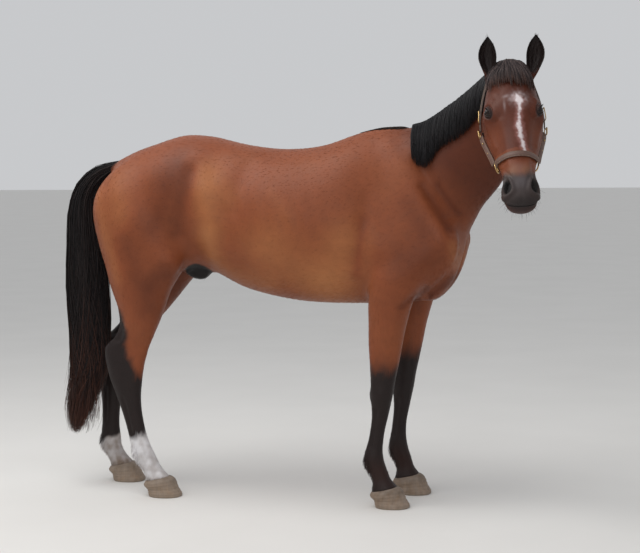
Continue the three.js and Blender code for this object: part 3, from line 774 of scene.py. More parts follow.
# Places that can be felt under the skin of the side, as (x, z).
LANDMARKS = {
    "withers": (40, WITHERS),
    "blade": (60, 1530),            # top of the shoulder blade
    "shoulder": (320, 1120),        # point of the shoulder
    "elbow": (-60, 1000),
    "arm": (160, 860),              # front of the forearm
    "breast": (330, 1000),          # where the forearm leaves the breast
    "girth": (-90, GIRTH),
    "rib": (-600, 1270),            # middle of the last rib
    "loin": (-520, 1500),
    "hip": (-780, 1500),            # point of the hip
    "flank": (-700, 1000),          # fold of the flank, where it meets the belly
    "stifle": (-890, 1030),
    "buttock": (-1200, 1390),
    "gaskin": (-1040, 840),
}


def run_between(start, end, first, last, aside):
    """The stretch of a straight run between two landmarks, moved aside towards the head."""
    start, end = np.array(LANDMARKS[start], float), np.array(LANDMARKS[end], float)
    return [start + (end - start) * share + (aside, 0) for share in (first, last)]


# From landmark to landmark, the first and last share of that run, how far ahead of it,
# height off the loft and its reach, then the painted highlight (above 0) or painted shade (below 0)
# laid in the coat's colour there, and its reach.
FOLDS = [
    ("blade", "shoulder", 0.0, 0.9, 0, 4, 42, 0, 0),            # ridge of the blade
    ("blade", "shoulder", 0.15, 0.7, 90, -6, 28, 0, 0),         # front edge of the blade
    ("blade", "shoulder", 0.4, 0.85, 45, -3, 16, -0.5, 18),     # stripes beside it
    ("blade", "shoulder", 0.4, 0.7, 110, -2.5, 14, -0.5, 17),
    ("blade", "shoulder", 0.55, 0.85, -55, 0, 0, -0.35, 38),
    ("blade", "elbow", 0.85, 1.0, 100, 11, 85, 0, 0),           # triceps
    ("shoulder", "shoulder", 0, 0, 0, 9, 66, 0, 0),
    ("shoulder", "elbow", 0.2, 0.45, 0, 0, 0, -0.45, 85),       # between the two
    ("elbow", "elbow", 0, 0, 0, 7, 34, 0, 0),
    ("breast", "arm", 0.0, 0.75, 20, -9, 22, -0.6, 16),         # folds above the forearm
    ("breast", "arm", 0.45, 1.0, -30, -3.5, 14, -0.5, 12),
    ("shoulder", "breast", 0.0, 1.0, 20, 0, 0, 0.45, 28),
    ("withers", "elbow", 0.65, 1.0, 0, -3.4, 32, -0.35, 20),    # behind the elbow
    ("withers", "elbow", 0.8, 1.0, -70, 0, 0, 0.55, 95),
    ("withers", "girth", 0.4, 0.5, 0, -2, 36, 0, 0),
    ("hip", "rib", 0.5, 0.75, 30, 0, 0, 0.3, 60),
    ("rib", "girth", 0.4, 0.8, -40, 0, 0, 0.5, 110),         # side of the belly
    ("rib", "girth", 0.75, 0.95, 0, 0, 0, 0.35, 90),
    ("flank", "girth", 0.05, 0.4, 0, 0, 0, 0.5, 60),
    ("loin", "rib", 0.2, 1.0, 0, -4.5, 48, 0, 0),               # behind the last rib
    ("loin", "girth", 0.25, 0.4, 0, 0.9, 24, 0.1, 24),
    ("loin", "withers", 0.1, 0.7, 0, -3, 40, 0, 0),             # beside the back
    ("hip", "hip", 0, 0, 0, 3, 60, 0, 0),
    ("hip", "flank", 0.15, 0.15, 50, -5, 60, 0, 0),             # hollow of the flank
    ("hip", "flank", 0.15, 0.6, 40, 4, 40, 0.58, 56),           # fold below it
    ("hip", "flank", 0.72, 0.85, 10, 3, 34, 0.65, 52),
    ("hip", "stifle", 0.15, 0.7, 10, -5, 34, -0.4, 36),         # before the thigh
    ("hip", "gaskin", 0.05, 0.45, -60, 0, 0, -0.55, 76),
    ("hip", "gaskin", 0.25, 0.45, -80, 1.2, 26, 0.12, 24),
    ("stifle", "stifle", 0, 0, 0, 9, 46, 0, 0),
    ("stifle", "gaskin", 0.1, 0.5, 0, -2.5, 34, -0.35, 45),
    ("buttock", "gaskin", 0.5, 1.0, 50, -2.5, 40, -0.4, 52),    # between the thigh muscles
    ("buttock", "gaskin", 0.05, 0.85, 10, -1.6, 32, 0, 0),
    ("buttock", "gaskin", 0.1, 0.75, -50, 0, 0, 0.35, 36),
    ("buttock", "gaskin", 0.0, 0.25, 60, 0, 0, 0.3, 60),
    ("hip", "buttock", 0.35, 0.45, 0, 7, 110, 0, 0),            # rump muscle
    ("buttock", "stifle", 0.5, 0.75, 0, 5, 90, 0, 0),           # thigh muscle
]
RELIEF = 2.1
RIBS = [(-200 - 62 * n, 40 + 12 * n) for n in range(7)]

# On the legs: kind, path of (ahead of the leg's middle, out from it, height), height, reach.
LEG_RELIEF = [
    ("fore", [(-24, 30, 860), (-12, 34, 720), (-4, 36, 600)], -4, 16),   # forearm groove
    ("fore", [(40, 30, 780), (30, 32, 640)], -3, 14),
    ("fore", [(-6, 40, 490), (-4, 40, 470)], 3, 18),            # side of the knee
    ("fore", [(-44, 0, 486), (-44, 0, 470)], 5, 18),            # back of the knee
    ("fore", [(-12, 28, 420), (-12, 26, 330), (-14, 28, 262)], -5, 9),   # before the tendons
    ("fore", [(-12, -28, 420), (-12, -26, 330), (-14, -28, 262)], -5, 9),
    ("fore", [(0, 34, 214), (0, 34, 206)], 2.5, 16),            # side of the fetlock
    ("fore", [(-38, 0, 196), (-36, 0, 186)], 4, 16),            # ergot
    ("fore", [(-20, 30, 100), (-40, 18, 84)], 2, 12),           # heel bulb
    ("hind", [(-62, 42, 760), (-52, 36, 700)], -11, 22),        # hollow before the hamstring
    ("hind", [(-62, -42, 760), (-52, -36, 700)], -10, 22),
    ("hind", [(10, 46, 640), (6, 46, 610)], 4, 20),             # side of the hock
    ("hind", [(-10, 40, 560), (-8, 34, 520)], 3, 18),
    ("hind", [(-14, 30, 440), (-14, 28, 340), (-16, 30, 280)], -5, 9),
    ("hind", [(-14, -30, 440), (-14, -28, 340), (-16, -30, 280)], -5, 9),
    ("hind", [(0, 36, 214), (0, 36, 200)], 2.5, 16),
    ("hind", [(-44, 0, 196), (-44, 0, 186)], 4, 16),
    ("hind", [(50, 56, 900), (30, 56, 790)], -4, 20),           # before the second thigh
]

# Path in head millimetres on the left half, mirrored to the right, height, reach.
HEAD_RELIEF = [
    ([(140, 66, -10), (158, 66, -12)], -7, 22),                 # hollow over the eye
    ([(166, 84, -18), (188, 100, -16), (216, 104, -18), (238, 96, -26)], 4.5, 11),  # brow
    ([(232, 108, -74), (290, 104, -70), (350, 86, -62)], 5, 12),    # cheek ridge
    ([(236, 104, -96), (300, 98, -96)], -3, 16),
    ([(110, 100, -150), (200, 108, -160), (250, 98, -160)], 4, 60),  # round cheek
    ([(118, 92, -236), (210, 96, -238), (262, 84, -216)], 3, 16),    # edge of the jaw
    ([(300, 88, -150), (345, 76, -132)], -5, 26),               # before the cheek
    ([(262, 54, -10), (360, 48, -12), (450, 40, -14)], 2.5, 13),    # edge of the nose
    ([(250, 84, -44), (330, 74, -40), (420, 60, -38)], -3.5, 20),   # beside the nose
    ([(462, 52, -36), (494, 52, -34)], -6, 18),                 # before the nostril
    ([(240, 70, -20), (246, 82, -34)], -2.5, 12),
    ([(560, 62, -84), (520, 64, -88)], 3, 20),                  # corner of the lips
    ([(600, 0, -98), (596, 22, -98)], 5, 24),                   # chin
    ([(596, 0, -26), (596, 16, -28)], 2.5, 18),                 # upper lip
    ([(540, 0, -16), (600, 0, -36)], -1.5, 7),                  # groove of the lip
    ([(-10, 20, -6), (40, 14, 4)], 2.5, 18),                    # poll
]
# The line between the lips seen from the side: (along the face, out of it).
MOUTH = [(642, -38), (613, -50), (600, -58), (586, -67), (570, -78), (552, -88), (538, -92)]
NOSTRIL = (538, 53, -31)


def flank_relief(points, normals, inside_legs):
    """Heights of FOLDS and the ribs, fading where the skin turns up or down, and the groove
    down the front of the breast."""
    flat = points[:, [0, 2]]
    facing = ease(np.abs(normals[:, 1]), 0.15, 0.55)
    total = np.zeros(len(points))
    for *run, height, reach, _, _ in FOLDS:
        if not height:
            continue
        path = run_between(*run)
        near = np.flatnonzero(
            (np.abs(flat - np.mean(path, 0)) < np.ptp(path, 0) / 2 + 2.6 * reach).all(1)
        )
        total[near] += height * bump(path_distance(flat[near], path), reach)
    for place, lean in RIBS:
        x = flat[:, 0] - place + lean * (flat[:, 1] - 1200) / 250
        total += 0.9 * bump(x, 17) * bump(flat[:, 1] - 1200, 170)
    front = ease(normals[:, 0], 0.2, 0.7) * bump(points[:, 1], 22) * bump(flat[:, 1] - 1010, 110)
    return (RELIEF * total * facing * (1 - 0.8 * inside_legs)) - 15 * front


def leg_middle(path, z):
    """Where a leg's middle is along X at heights, held at the ends of its path."""
    return read_rows(path, np.clip(z, HOOF_TOP, LEG_TOP))[..., 0]


def leg_relief(points):
    """Heights of LEG_RELIEF, each measured from the middle of its own leg."""
    total = np.zeros(len(points))
    for (kind, side), (_, path, out) in LEG_TABLES.items():
        low = np.flatnonzero((points[:, 2] < 960) & (points[:, 1] * side > 0))
        z = points[low, 2]
        ahead = points[low, 0] - leg_middle(path, z)
        local = np.stack([ahead, points[low, 1] * side - out, z], 1)
        own = np.abs(local[:, 0]) < 190
        for which, way, height, reach in LEG_RELIEF:
            if which == kind:
                total[low] += own * height * bump(path_distance(local, way), reach)
    return total


def head_relief(head):
    """Heights of HEAD_RELIEF, the same on both halves."""
    half = on_left_half(head)
    total = np.zeros(len(head))
    for path, height, reach in HEAD_RELIEF:
        total += height * bump(path_distance(half, path), reach)
    return total


def leg_nearness(points):
    """How far outside each leg's loft a point is, least of the four, in millimetres."""
    best = np.full(len(points), 1e3)
    for (_, side), (table, path, out) in LEG_TABLES.items():
        z = np.clip(points[:, 2], HOOF_TOP, LEG_TOP)
        deep, wide, lean, _ = read_rows(table, z).T
        x = points[:, 0] - leg_middle(path, z)
        y = points[:, 1] - side * (out + lean)
        gap = outside(x, y, deep, wide, LEG_SQUARE)
        best = np.minimum(best, np.hypot(gap, points[:, 2] - z))
    return best


def trunk_nearness(points):
    """How far outside the trunk's loft a point is, in millimetres."""
    x = np.clip(points[:, 0], TRUNK[0][0], TRUNK[-1][0])
    top, bottom, half, level, *squares = read_rows(TRUNK, x).T
    up = points[:, 2] - level
    height, square = half_section(up, top, bottom, level, *squares)
    return np.hypot(outside(points[:, 1], up, half, height, square), points[:, 0] - x)


def neck_place(points, fine=141):
    """Place along the neck of the nearest point of its middle line, and the distance."""
    place = np.linspace(0, NECK[-1][0], fine)
    line = neck_middle(place)
    best = np.full(len(points), np.inf)
    found = np.zeros(len(points))
    for at, middle in zip(place, line):
        away = np.linalg.norm(points - middle, axis=1)
        nearer = away < best
        best[nearer] = away[nearer]
        found[nearer] = at
    return found, best


def past_neck_base(points):
    """How far up the neck points are from the plane it leaves the trunk at."""
    return (points - NECK_BASE) @ np.array(NECK_WAY)


def seam_weights(points):
    """1 where two lofts meet and the skin has to be drawn across, falling to 0."""
    legs, trunk = leg_nearness(points), trunk_nearness(points)
    by_legs = bump(legs, 42) * bump(trunk, 42)
    base = past_neck_base(points)
    by_neck = bump(base, 75) * ease(points[:, 2], 850, 950)
    head = in_head(points)
    by_throat = bump(head[:, 0] - 70, 62) * ease(-head[:, 2], 60, 130)
    by_poll = bump(head[:, 0] + 12, 42) * ease(-head[:, 2], 20, 60)
    away = np.linalg.norm((points - SHEATH) / (90, 60, 70), axis=1)
    by_sheath = 0.5 * bump(away - 1, 0.35)
    by_dock = 0.7 * bump(np.linalg.norm(points - (-1190, 0, 1470), axis=1), 60)
    by_ears = [
        0.35 * bump(np.linalg.norm(points - ear_axes(side)[0] - (0, 0, 14), axis=1), 36)
        for side in SIDES
    ]
    return np.clip(
        np.max([by_legs, by_neck, by_throat, by_poll, by_sheath, by_dock, *by_ears], 0), 0, 1
    )


# ---------------------------------------------------------------- markings, painted highlights and painted shade


def sized(colour):
    """A colour given as 0 to 255 on a screen, in the linear light that shaders use."""
    c = np.asarray(colour, float) / 255
    return np.where(c <= 0.04045, c / 12.92, ((c + 0.055) / 1.055) ** 2.4)


BAY = sized((128, 67, 38))
# Deep bay of the ears and the fore fetlocks, and also the colour of painted shade on the body and
# head.
BAY_DEEP_AND_PAINTED_SHADE = sized((77, 32, 14))
# Light bay, used only as painted highlight on the body.
BAY_PAINTED_HIGHLIGHT = sized((165, 105, 63))
POINTS = sized((21, 18, 19))
MUZZLE = sized((49, 46, 46))
SOCK = sized((210, 208, 210))
SNOW = sized((226, 216, 218))
MEALY = sized((128, 88, 64))


def mix(first, second, share):
    return first + (second - first) * np.asarray(share)[..., None]


def rough_edge(points, size, amount, phase=0.0):
    """A wandering number made of crossed waves, for edges that aren't ruled lines."""
    p = points / size + phase
    wave = np.sin(p[:, 0] + 1.7 * np.sin(p[:, 1])) + np.sin(1.3 * p[:, 1] + 1.9 * np.sin(p[:, 2]))
    wave += np.sin(1.1 * p[:, 2] + 1.5 * np.sin(1.4 * p[:, 0]))
    return amount * wave / 3


def markings(points, normals):
    """Linear colour of the coat, with painted highlights and painted shade in it, and how bare the
    skin is, at points in table millimetres.
    """
    x, y, z = points.T
    head = in_head(points)
    a, s, o = head.T
    shade = np.zeros(len(points))
    # Painted highlight and painted shade along the FOLDS.
    for *run, _, _, amount, reach in FOLDS:
        if amount:
            away = path_distance(points[:, [0, 2]], run_between(*run))
            shade += amount * bump(away, reach)
    shade += rough_edge(points, 60, 0.07)
    # Painted shade where the skin faces down: under the belly, the chest and the neck.
    shade -= 0.12 * ease(-normals[:, 2], 0.2, 0.9) * (z > 700)
    # Painted highlight lightens the bay, painted shade deepens it.
    colour = mix(BAY, BAY_PAINTED_HIGHLIGHT, np.clip(shade, 0, 1))
    colour = mix(colour, BAY_DEEP_AND_PAINTED_SHADE, np.clip(-shade, 0, 1))
    place, away = neck_place(points) if len(points) else (x, x)
    # Painted shade: the neck darkened from a little above its base up to the head.
    on_neck = ease(place, 1.2, 3.0) * (away < 330)
    colour = mix(colour, BAY_DEEP_AND_PAINTED_SHADE, 0.88 * on_neck)

    wander = rough_edge(points, 14, 14)
    on_fore = (x > -300).astype(float)
    ahead_hind = x - np.where(y < 0, leg_middle(RIGHT_HIND_PATH, z), leg_middle(LEFT_HIND_PATH, z))
    fore_top = 600 + np.where(y > 0, 40, 0)
    black_fore = on_fore * ease(fore_top + wander - z, -55, 45)
    hind_top = 645 - 1.9 * ahead_hind + np.where(y > 0, 90, 0)
    black_hind = (1 - on_fore) * ease(np.minimum(hind_top, 800) + wander - z, -60, 0)
    colour = mix(colour, POINTS, 0.97 * np.maximum(black_fore, black_hind))
    brown_heel = on_fore * bump(z - 150, 60) * 0.15
    colour = mix(colour, BAY_DEEP_AND_PAINTED_SHADE, brown_heel)
    sock_top = np.where(y < 0, 262 + 0.35 * ahead_hind, 205 + 0.3 * ahead_hind)
    sock = (1 - on_fore) * ease(sock_top + 1.3 * wander - z, -12, 16)
    # Grey on the white socks: in patches, much more on the left hind leg, and more towards the ground.
    sock_grey = np.clip(0.45 + rough_edge(points, 9, 0.5) + rough_edge(points, 25, 0.35, 2.0), 0, 1)
    sock_grey = np.where(y < 0, 0.45 * sock_grey, 0.35 + 0.5 * sock_grey)
    sock_grey += 0.5 * ease(110 - z, 0, 40)
    white = mix(SOCK, sized((120, 104, 92)), np.clip(sock_grey, 0, 1))
    colour = mix(colour, white, sock)

    near_head = (a > -60) & (a < 660) & (np.abs(s) < 160) & (o > -300) & (o < 60)
    n = np.flatnonzero(near_head)
    if len(n):
        colour[n] = head_colour(colour[n], head[n], points[n])
    bare = np.zeros(len(points))
    if len(n):
        bare[n] = ease(head[n, 0] + 0.2 * head[n, 2], 470, 560)
    away = np.linalg.norm((points - (-822, 0, 1004)) / (64, 110, 62), axis=1)
    sheath = ease(1.1 - away, 0, 0.14) * (np.abs(y) < 120)
    colour = mix(colour, POINTS * 0.8, sheath)
    bare = np.maximum(bare, 0.7 * sheath)
    dock = ease(-x, 1165, 1195) * bump(y, 38) * ease(z, 1390, 1440)
    colour = mix(colour, POINTS, dock)
    return np.clip(colour, 0, 1), bare


def head_colour(colour, head, points):
    """Face markings: star and strip, dark muzzle and lids, mealy nose, black ear rims; painted shade
    over the head, along the line between the lips and in the nostrils.
    """
    a, s, o = head.T
    half = np.abs(s)
    # Painted shade: the head darkened from just below the poll to the lips.
    colour = mix(colour, BAY_DEEP_AND_PAINTED_SHADE, 0.30 * ease(a, 30, 120))
    side_edge = rough_edge(points, 7, 4)
    colour = mix(colour, sized((88, 44, 36)), 0.35 * bump(s / 46) * ease(a, 60, 110)
                 * ease(480 - a, 0, 60) * ease(o, -40, -10))
    colour = mix(colour, BAY, 0.4 * ease(half, 26, 74) * ease(a, 230, 310) * ease(470 - a, 0, 70))
    colour = mix(colour, sized((124, 92, 82)), 0.6 * bump(s / 40) * ease(a, 432, 470))
    colour = mix(colour, MEALY, 0.65 * bump(np.hypot((a - 484) / 26, (half - 31) / 24)) *
                 ease(o, -60, -25))
    dark = ease(a + 0.35 * (half - 30) + side_edge - 0.15 * o, 468, 512)
    colour = mix(colour, MUZZLE, 0.92 * dark)
    pale = bump(np.hypot((a - 522) / 32, s / 34)) * ease(o, -50, -20)
    colour = mix(colour, sized((98, 91, 94)), 0.5 * pale * dark)
    lips = ease(a, 560, 612) * 0.55
    colour = mix(colour, POINTS, lips * ease(o, -110, -70))
    line, below = by_mouth(head)
    chin = bump(np.hypot((a - 604) / 34, (o + 92) / 26)) * below
    colour = mix(colour, sized((96, 58, 50)), 0.6 * chin)
    # Painted shade along the line between the lips.
    colour = mix(colour, POINTS * 0.6, 0.9 * bump(line, 3.0))
    face = ease(o, -45, -20)
    width = read_rows(
        [[150, 8, 1], [158, 11, 6], [172, 16, 14], [184, 20, 17], [198, 20, 10], [225, 17, 8],
         [258, 14, 8], [284, 12, 12], [312, 14, 12], [345, 17, 11], [380, 22, 9], [402, 26, 6],
         [420, 29, 0]],
        np.clip(a, 150, 420),
    )
    ragged = rough_edge(points, 3.1, 3.0) + rough_edge(points, 6.5, 2.5, 1.0)
    inside = (width[:, 1] - np.abs(s - width[:, 0]) + 1.3 * ragged) / 8
    strip = np.clip(inside, 0, 1) * ease(a, 150, 160) * ease(420 - a, 0, 14) * face
    strip *= 1 - 0.12 * ease(a, 215, 270)
    edge = bump(np.minimum(inside, 0), 1.1) * ease(a, 150, 170) * ease(420 - a, 0, 30) * face
    colour = mix(colour, sized((168, 118, 112)), 0.42 * edge)
    colour = mix(colour, SNOW, 0.97 * strip)
    halo = bump(np.hypot((a - 174) / 26, (s - 16) / 30)) * face
    halo *= 1 + rough_edge(points, 4.5, 0.9)
    faint = bump(np.hypot((a - 164) / 6, (s + 30) / 12)) + bump(np.hypot((a - 200) / 20, (s + 38) / 4))
    colour = mix(colour, SNOW, np.clip(0.2 * faint * face + 0.42 * halo, 0, 1))
    for side in SIDES:
        eye = eye_at(side)
        local = (points - eye) @ eye_axes(side).T
        away = np.hypot(local[:, 0] / 27, local[:, 1] / 19)
        lid = ease(1.5 - away, 0, 0.6) * (local[:, 2] > -20)
        colour = mix(colour, sized((34, 26, 26)), 0.94 * lid)
        # Nostrils near black: their dark skin, with painted shade in the hollows.
        nose = np.linalg.norm(
            (head - (NOSTRIL[0], side * (NOSTRIL[1] - 3), NOSTRIL[2] - 8)) / (36, 21, 26), axis=1
        )
        colour = mix(colour, sized((15, 12, 12)), 0.95 * ease(1.0 - nose, 0.0, 0.4))
    return colour


def ear_local(side, points):
    """Place up the ear, across from its bent middle line, back from it, and its table row."""
    base, up, front, across = ear_axes(side)
    local = points - base
    place = local @ up / EAR_LENGTH
    x, y = local @ across - ear_bend(side, place), -(local @ front)
    return place, x, y, read_rows(EAR, np.clip(place, EAR[0][0], EAR[-1][0])).T


def ear_size(side, points):
    """1 on the back of the ear, less inside it."""
    _, x, y, (half, depth, _, _) = ear_local(side, points)
    return np.hypot(x / np.maximum(half, 2), y / np.maximum(depth, 2))


def ear_colour(side, points):
    """Bay backs, black rims and tips, dark inside, which is the ear's dark skin with painted shade in
    its hollow, and how far inside a point is.
    """
    place, x, y, (_, _, _, curl) = ear_local(side, points)
    inner = ease(0.97 - ear_size(side, points), 0, 0.05) * ease(place, 0.08, 0.16)
    colour = mix(BAY_DEEP_AND_PAINTED_SHADE, POINTS, ease(place, 0.72, 0.95))
    edge = ease(np.abs(np.arctan2(x, y)), np.radians(curl) - 0.5, np.radians(curl) - 0.1)
    colour = mix(colour, POINTS, 0.85 * edge * (place > 0.25))
    # Dark inside: the ear's dark skin, with painted shade in its hollow.
    colour = mix(colour, sized((30, 24, 24)), 0.95 * inner)
    return colour, inner


# ---------------------------------------------------------------- materials


class Shader:
    """A material's node tree, built with short words."""

    def __init__(self, name, **values):
        self.material = bpy.data.materials.new(name)
        self.material.use_nodes = True
        self.tree = self.material.node_tree
        self.surface = self.tree.nodes["Principled BSDF"]
        for key, value in values.items():
            self.surface.inputs[key.replace("_", " ")].default_value = value

    def add(self, kind, settings=None, **inputs):
        """A node with its settings, and its inputs as values or as other nodes' outputs."""
        node = self.tree.nodes.new("ShaderNode" + kind)
        for key, value in (settings or {}).items():
            setattr(node, key, value)
        for key, value in inputs.items():
            key = int(key[1:]) if key[0] == "i" and key[1:].isdigit() else key.replace("_", " ")
            if isinstance(value, bpy.types.NodeSocket):
                self.tree.links.new(value, node.inputs[key])
            else:
                node.inputs[key].default_value = value
        return node

    def noise(self, scale, stretch=(1, 1, 1), detail=3.0, rough=0.5):
        """Noise on the piece's own coordinates, drawn out by a stretch."""
        at = self.add("TexCoord").outputs["Object"]
        at = self.add("Mapping", Vector=at, Scale=stretch).outputs["Vector"]
        made = self.add("TexNoise", Vector=at, Scale=scale, Detail=detail, Roughness=rough)
        return made.outputs["Fac"]

    def value(self, name):
        return self.add("Attribute", {"attribute_name": name}).outputs

    def math(self, operation, first, second):
        return self.add("Math", {"operation": operation}, i0=first, i1=second).outputs[0]

    def between(self, share, low, high):
        """A number from low to high as share goes from 0 to 1."""
        return self.add("MapRange", Value=share, To_Min=low, To_Max=high).outputs["Result"]

    def blend(self, share, first, second, how="MIX"):
        """One colour over another, by share."""
        node = self.add("Mix", {"data_type": "RGBA", "blend_type": how})
        for key, value in (("Factor", share), ("A", first), ("B", second)):
            socket = next(s for s in node.inputs if s.name == key and s.enabled)
            if isinstance(value, bpy.types.NodeSocket):
                self.tree.links.new(value, socket)
            else:
                socket.default_value = value
        return next(s for s in node.outputs if s.enabled)

    def shaded(self, colour, amount):
        """A colour times a number."""
        grey = self.add("CombineColor", Red=amount, Green=amount, Blue=amount).outputs[0]
        return self.blend(1.0, colour, grey, "MULTIPLY")

    def tinted(self, amount):
        """The piece's own colours times a number."""
        return self.shaded(self.value("coat")["Color"], amount)

    def feed(self, **sockets):
        for key, socket in sockets.items():
            self.tree.links.new(socket, self.surface.inputs[key.replace("_", " ")])

    def bump(self, height, strength, distance):
        node = self.add("Bump", Height=height, Strength=strength, Distance=distance)
        self.tree.links.new(node.outputs["Normal"], self.surface.inputs["Normal"])


def coat_material():
    """Short hair: the coat's colours, painted highlights and painted shade among them, with fine
    streaks along the hair, soft mottling and a low sheen; bare skin is smoother and has no streaks."""
    m = Shader("short_coat", IOR=1.45, Specular_IOR_Level=0.29, Sheen_Weight=0.03,
               Sheen_Roughness=0.45, Sheen_Tint=(1.0, 0.86, 0.78, 1.0))
    along_x = m.noise(1500, (0.16, 1, 1), 2.0)
    along_z = m.noise(1500, (1, 1, 0.16), 2.0)
    lie = m.value("lie")["Fac"]
    streak = m.add("Mix", {"data_type": "FLOAT"}, i0=lie, i2=along_x, i3=along_z).outputs[0]
    patch = m.noise(26, detail=4.0)
    broad = m.noise(5.5, detail=2.0)
    bare = m.value("bare")["Fac"]
    tone = m.math("MULTIPLY", m.between(streak, 0.80, 1.20), m.between(patch, 0.86, 1.14))
    tone = m.math("MULTIPLY", tone, m.between(broad, 0.92, 1.08))
    colour = m.tinted(tone)
    m.feed(Base_Color=colour)
    rough = m.math("ADD", m.between(patch, 0.40, 0.56), m.between(streak, -0.05, 0.05))
    m.feed(Roughness=m.math("ADD", rough, m.math("MULTIPLY", bare, 0.05)))
    pores = m.noise(700, detail=3.0)
    fine = m.add("Mix", {"data_type": "FLOAT"}, i0=bare, i2=streak, i3=pores).outputs[0]
    m.bump(fine, 0.35, 0.0006)
    return m.material


def hair_material():
    """Long hair: each lock its own shade, finely streaked, with a soft lengthwise gloss."""
    m = Shader("long_hair", IOR=1.5, Specular_IOR_Level=0.18, Sheen_Weight=0.01,
               Sheen_Roughness=0.4)
    streak = m.noise(900, (1, 1, 0.05), 2.0)
    m.feed(Base_Color=m.tinted(m.between(streak, 0.7, 1.35)))
    m.feed(Roughness=m.between(streak, 0.38, 0.58))
    m.bump(streak, 0.3, 0.0005)
    return m.material


def eye_material():
    """Wet brown eye: its own tints under a clear gloss."""
    m = Shader("wet_eye", IOR=1.34, Specular_IOR_Level=0.1, Coat_Weight=1.0,
               Coat_Roughness=0.02, Coat_IOR=1.34)
    rays = m.noise(420, detail=3.0)
    m.feed(Base_Color=m.tinted(m.between(rays, 0.75, 1.25)))
    m.feed(Roughness=m.between(rays, 0.08, 0.18))
    return m.material


def horn_material():
    """Hoof horn: growth rings in the shape, upright grain, dust towards the ground."""
    m = Shader("hoof_horn", IOR=1.5, Specular_IOR_Level=0.35)
    grain = m.noise(160, (1, 1, 0.12), 3.0)
    rings = m.noise(90, (0.15, 0.15, 1.6), 2.0)
    blotch = m.noise(38, detail=4.0)
    tone = m.math("MULTIPLY", m.between(grain, 0.72, 1.28), m.between(rings, 0.82, 1.18))
    colour = m.tinted(tone)
    dusty = m.math("MULTIPLY", m.between(blotch, -0.4, 1.2), 0.5)
    colour = m.blend(m.add("Clamp", Value=dusty).outputs[0], colour, (0.36, 0.31, 0.27, 1))
    m.feed(Base_Color=colour, Roughness=m.between(grain, 0.55, 0.8))
    m.bump(m.math("ADD", grain, rings), 0.4, 0.0008)
    return m.material


def leather_material():
    """Oiled strap leather: pebbled grain with darker creases, over the strap's colours with their
    painted shade and painted highlight.
    """
    m = Shader("strap_leather", IOR=1.48, Specular_IOR_Level=0.5)
    pebble = m.add("TexVoronoi", {"feature": "F1"}, Scale=900.0,
                   Vector=m.add("TexCoord").outputs["Object"]).outputs["Distance"]
    blotch = m.noise(60, detail=4.0)
    tone = m.math("MULTIPLY", m.between(pebble, 1.15, 0.75), m.between(blotch, 0.75, 1.3))
    m.feed(Base_Color=m.tinted(tone))
    m.feed(Roughness=m.between(blotch, 0.42, 0.66))
    m.bump(m.math("ADD", pebble, m.math("MULTIPLY", blotch, 0.5)), 0.35, 0.0005)
    return m.material


def thread_material():
    """Waxed thread: pale, faintly twisted."""
    m = Shader("waxed_thread", Specular_IOR_Level=0.3)
    twist = m.noise(1800, (1, 1, 0.4), 1.0)
    m.feed(Base_Color=m.tinted(m.between(twist, 0.75, 1.2)))
    m.feed(Roughness=m.between(twist, 0.6, 0.8))
    return m.material


def brass_material():
    """Dulled brass: fine scratches and darker tarnish in blotches."""
    m = Shader("dull_brass", Metallic=1.0)
    blotch = m.noise(130, detail=4.0)
    scratch = m.noise(700, (1, 0.1, 1), 2.0)
    colour = m.blend(m.between(blotch, 0.0, 1.0), (0.72, 0.50, 0.22, 1), (0.46, 0.31, 0.14, 1))
    m.feed(Base_Color=colour)
    m.feed(Roughness=m.math("ADD", m.between(blotch, 0.18, 0.36), m.between(scratch, 0, 0.12)))
    m.bump(scratch, 0.15, 0.0002)
    return m.material


def floor_material():
    """Pale studio floor with the faintest unevenness."""
    m = Shader("pale_floor", Specular_IOR_Level=0.2)
    soft = m.noise(1.6, detail=3.0)
    m.feed(Base_Color=m.blend(soft, (0.70, 0.69, 0.67, 1), (0.76, 0.75, 0.73, 1)))
    m.feed(Roughness=m.between(soft, 0.75, 0.9))
    return m.material


def finish(piece, build):
    """Gives a piece its material, made once and shared."""
    name = build.__name__
    if name not in MADE:
        MADE[name] = build()
    piece.data.materials.clear()
    piece.data.materials.append(MADE[name])


MADE = {}


# ---------------------------------------------------------------- skin


def body_lofts(inset):
    """All the lofts that the skin is drawn over."""
    lofts = [trunk_points(inset - 1.5), neck_points(inset), head_points(inset)]
    lofts += [leg_points(kind, side, inset) for kind, side in LEG_TABLES]
    lofts += [ball_points(SHEATH, (74, 42, 54)), dock_points(0.8)]
    lofts += [ear_points(side, -2.5, 0.17) for side in SIDES]
    return join_bodies([closed_tube(loft) for loft in lofts])


def refine(mesh, tests):
    """Cuts the edges near chosen places in two, once for each test of near points."""
    work = bmesh.new()
    work.from_mesh(mesh)
    bmesh.ops.triangulate(work, faces=work.faces)
    for test in tests:
        co = np.array([v.co for v in work.verts])
        near = test(to_table(co))
        work.verts.index_update()
        edges = [e for e in work.edges if near[e.verts[0].index] and near[e.verts[1].index]]
        bmesh.ops.subdivide_edges(work, edges=edges, cuts=1, use_grid_fill=True)
        bmesh.ops.triangulate(work, faces=[f for f in work.faces if len(f.verts) > 3])
    work.to_mesh(mesh)
    work.free()


def near_eye(points, reach):
    return np.any([np.linalg.norm(points - eye_at(side), axis=1) < reach for side in SIDES], 0)


def near_nose(points, reach):
    half = on_left_half(in_head(points))
    return np.linalg.norm(half - (NOSTRIL[0], 50, NOSTRIL[2]), axis=1) < reach


def by_mouth(head):
    """Distance from the line between the lips and how far a point is on the lower lip."""
    line = path_distance(head[:, [0, 2]], MOUTH)
    at = np.array(MOUTH)[::-1]
    below = ease(np.interp(head[:, 0], at[:, 0], at[:, 1]) - head[:, 2], -1, 3)
    line[(head[:, 0] < 530) | (np.abs(head[:, 1]) > 100) | (head[:, 2] < -150)] = 1e3
    return line, below


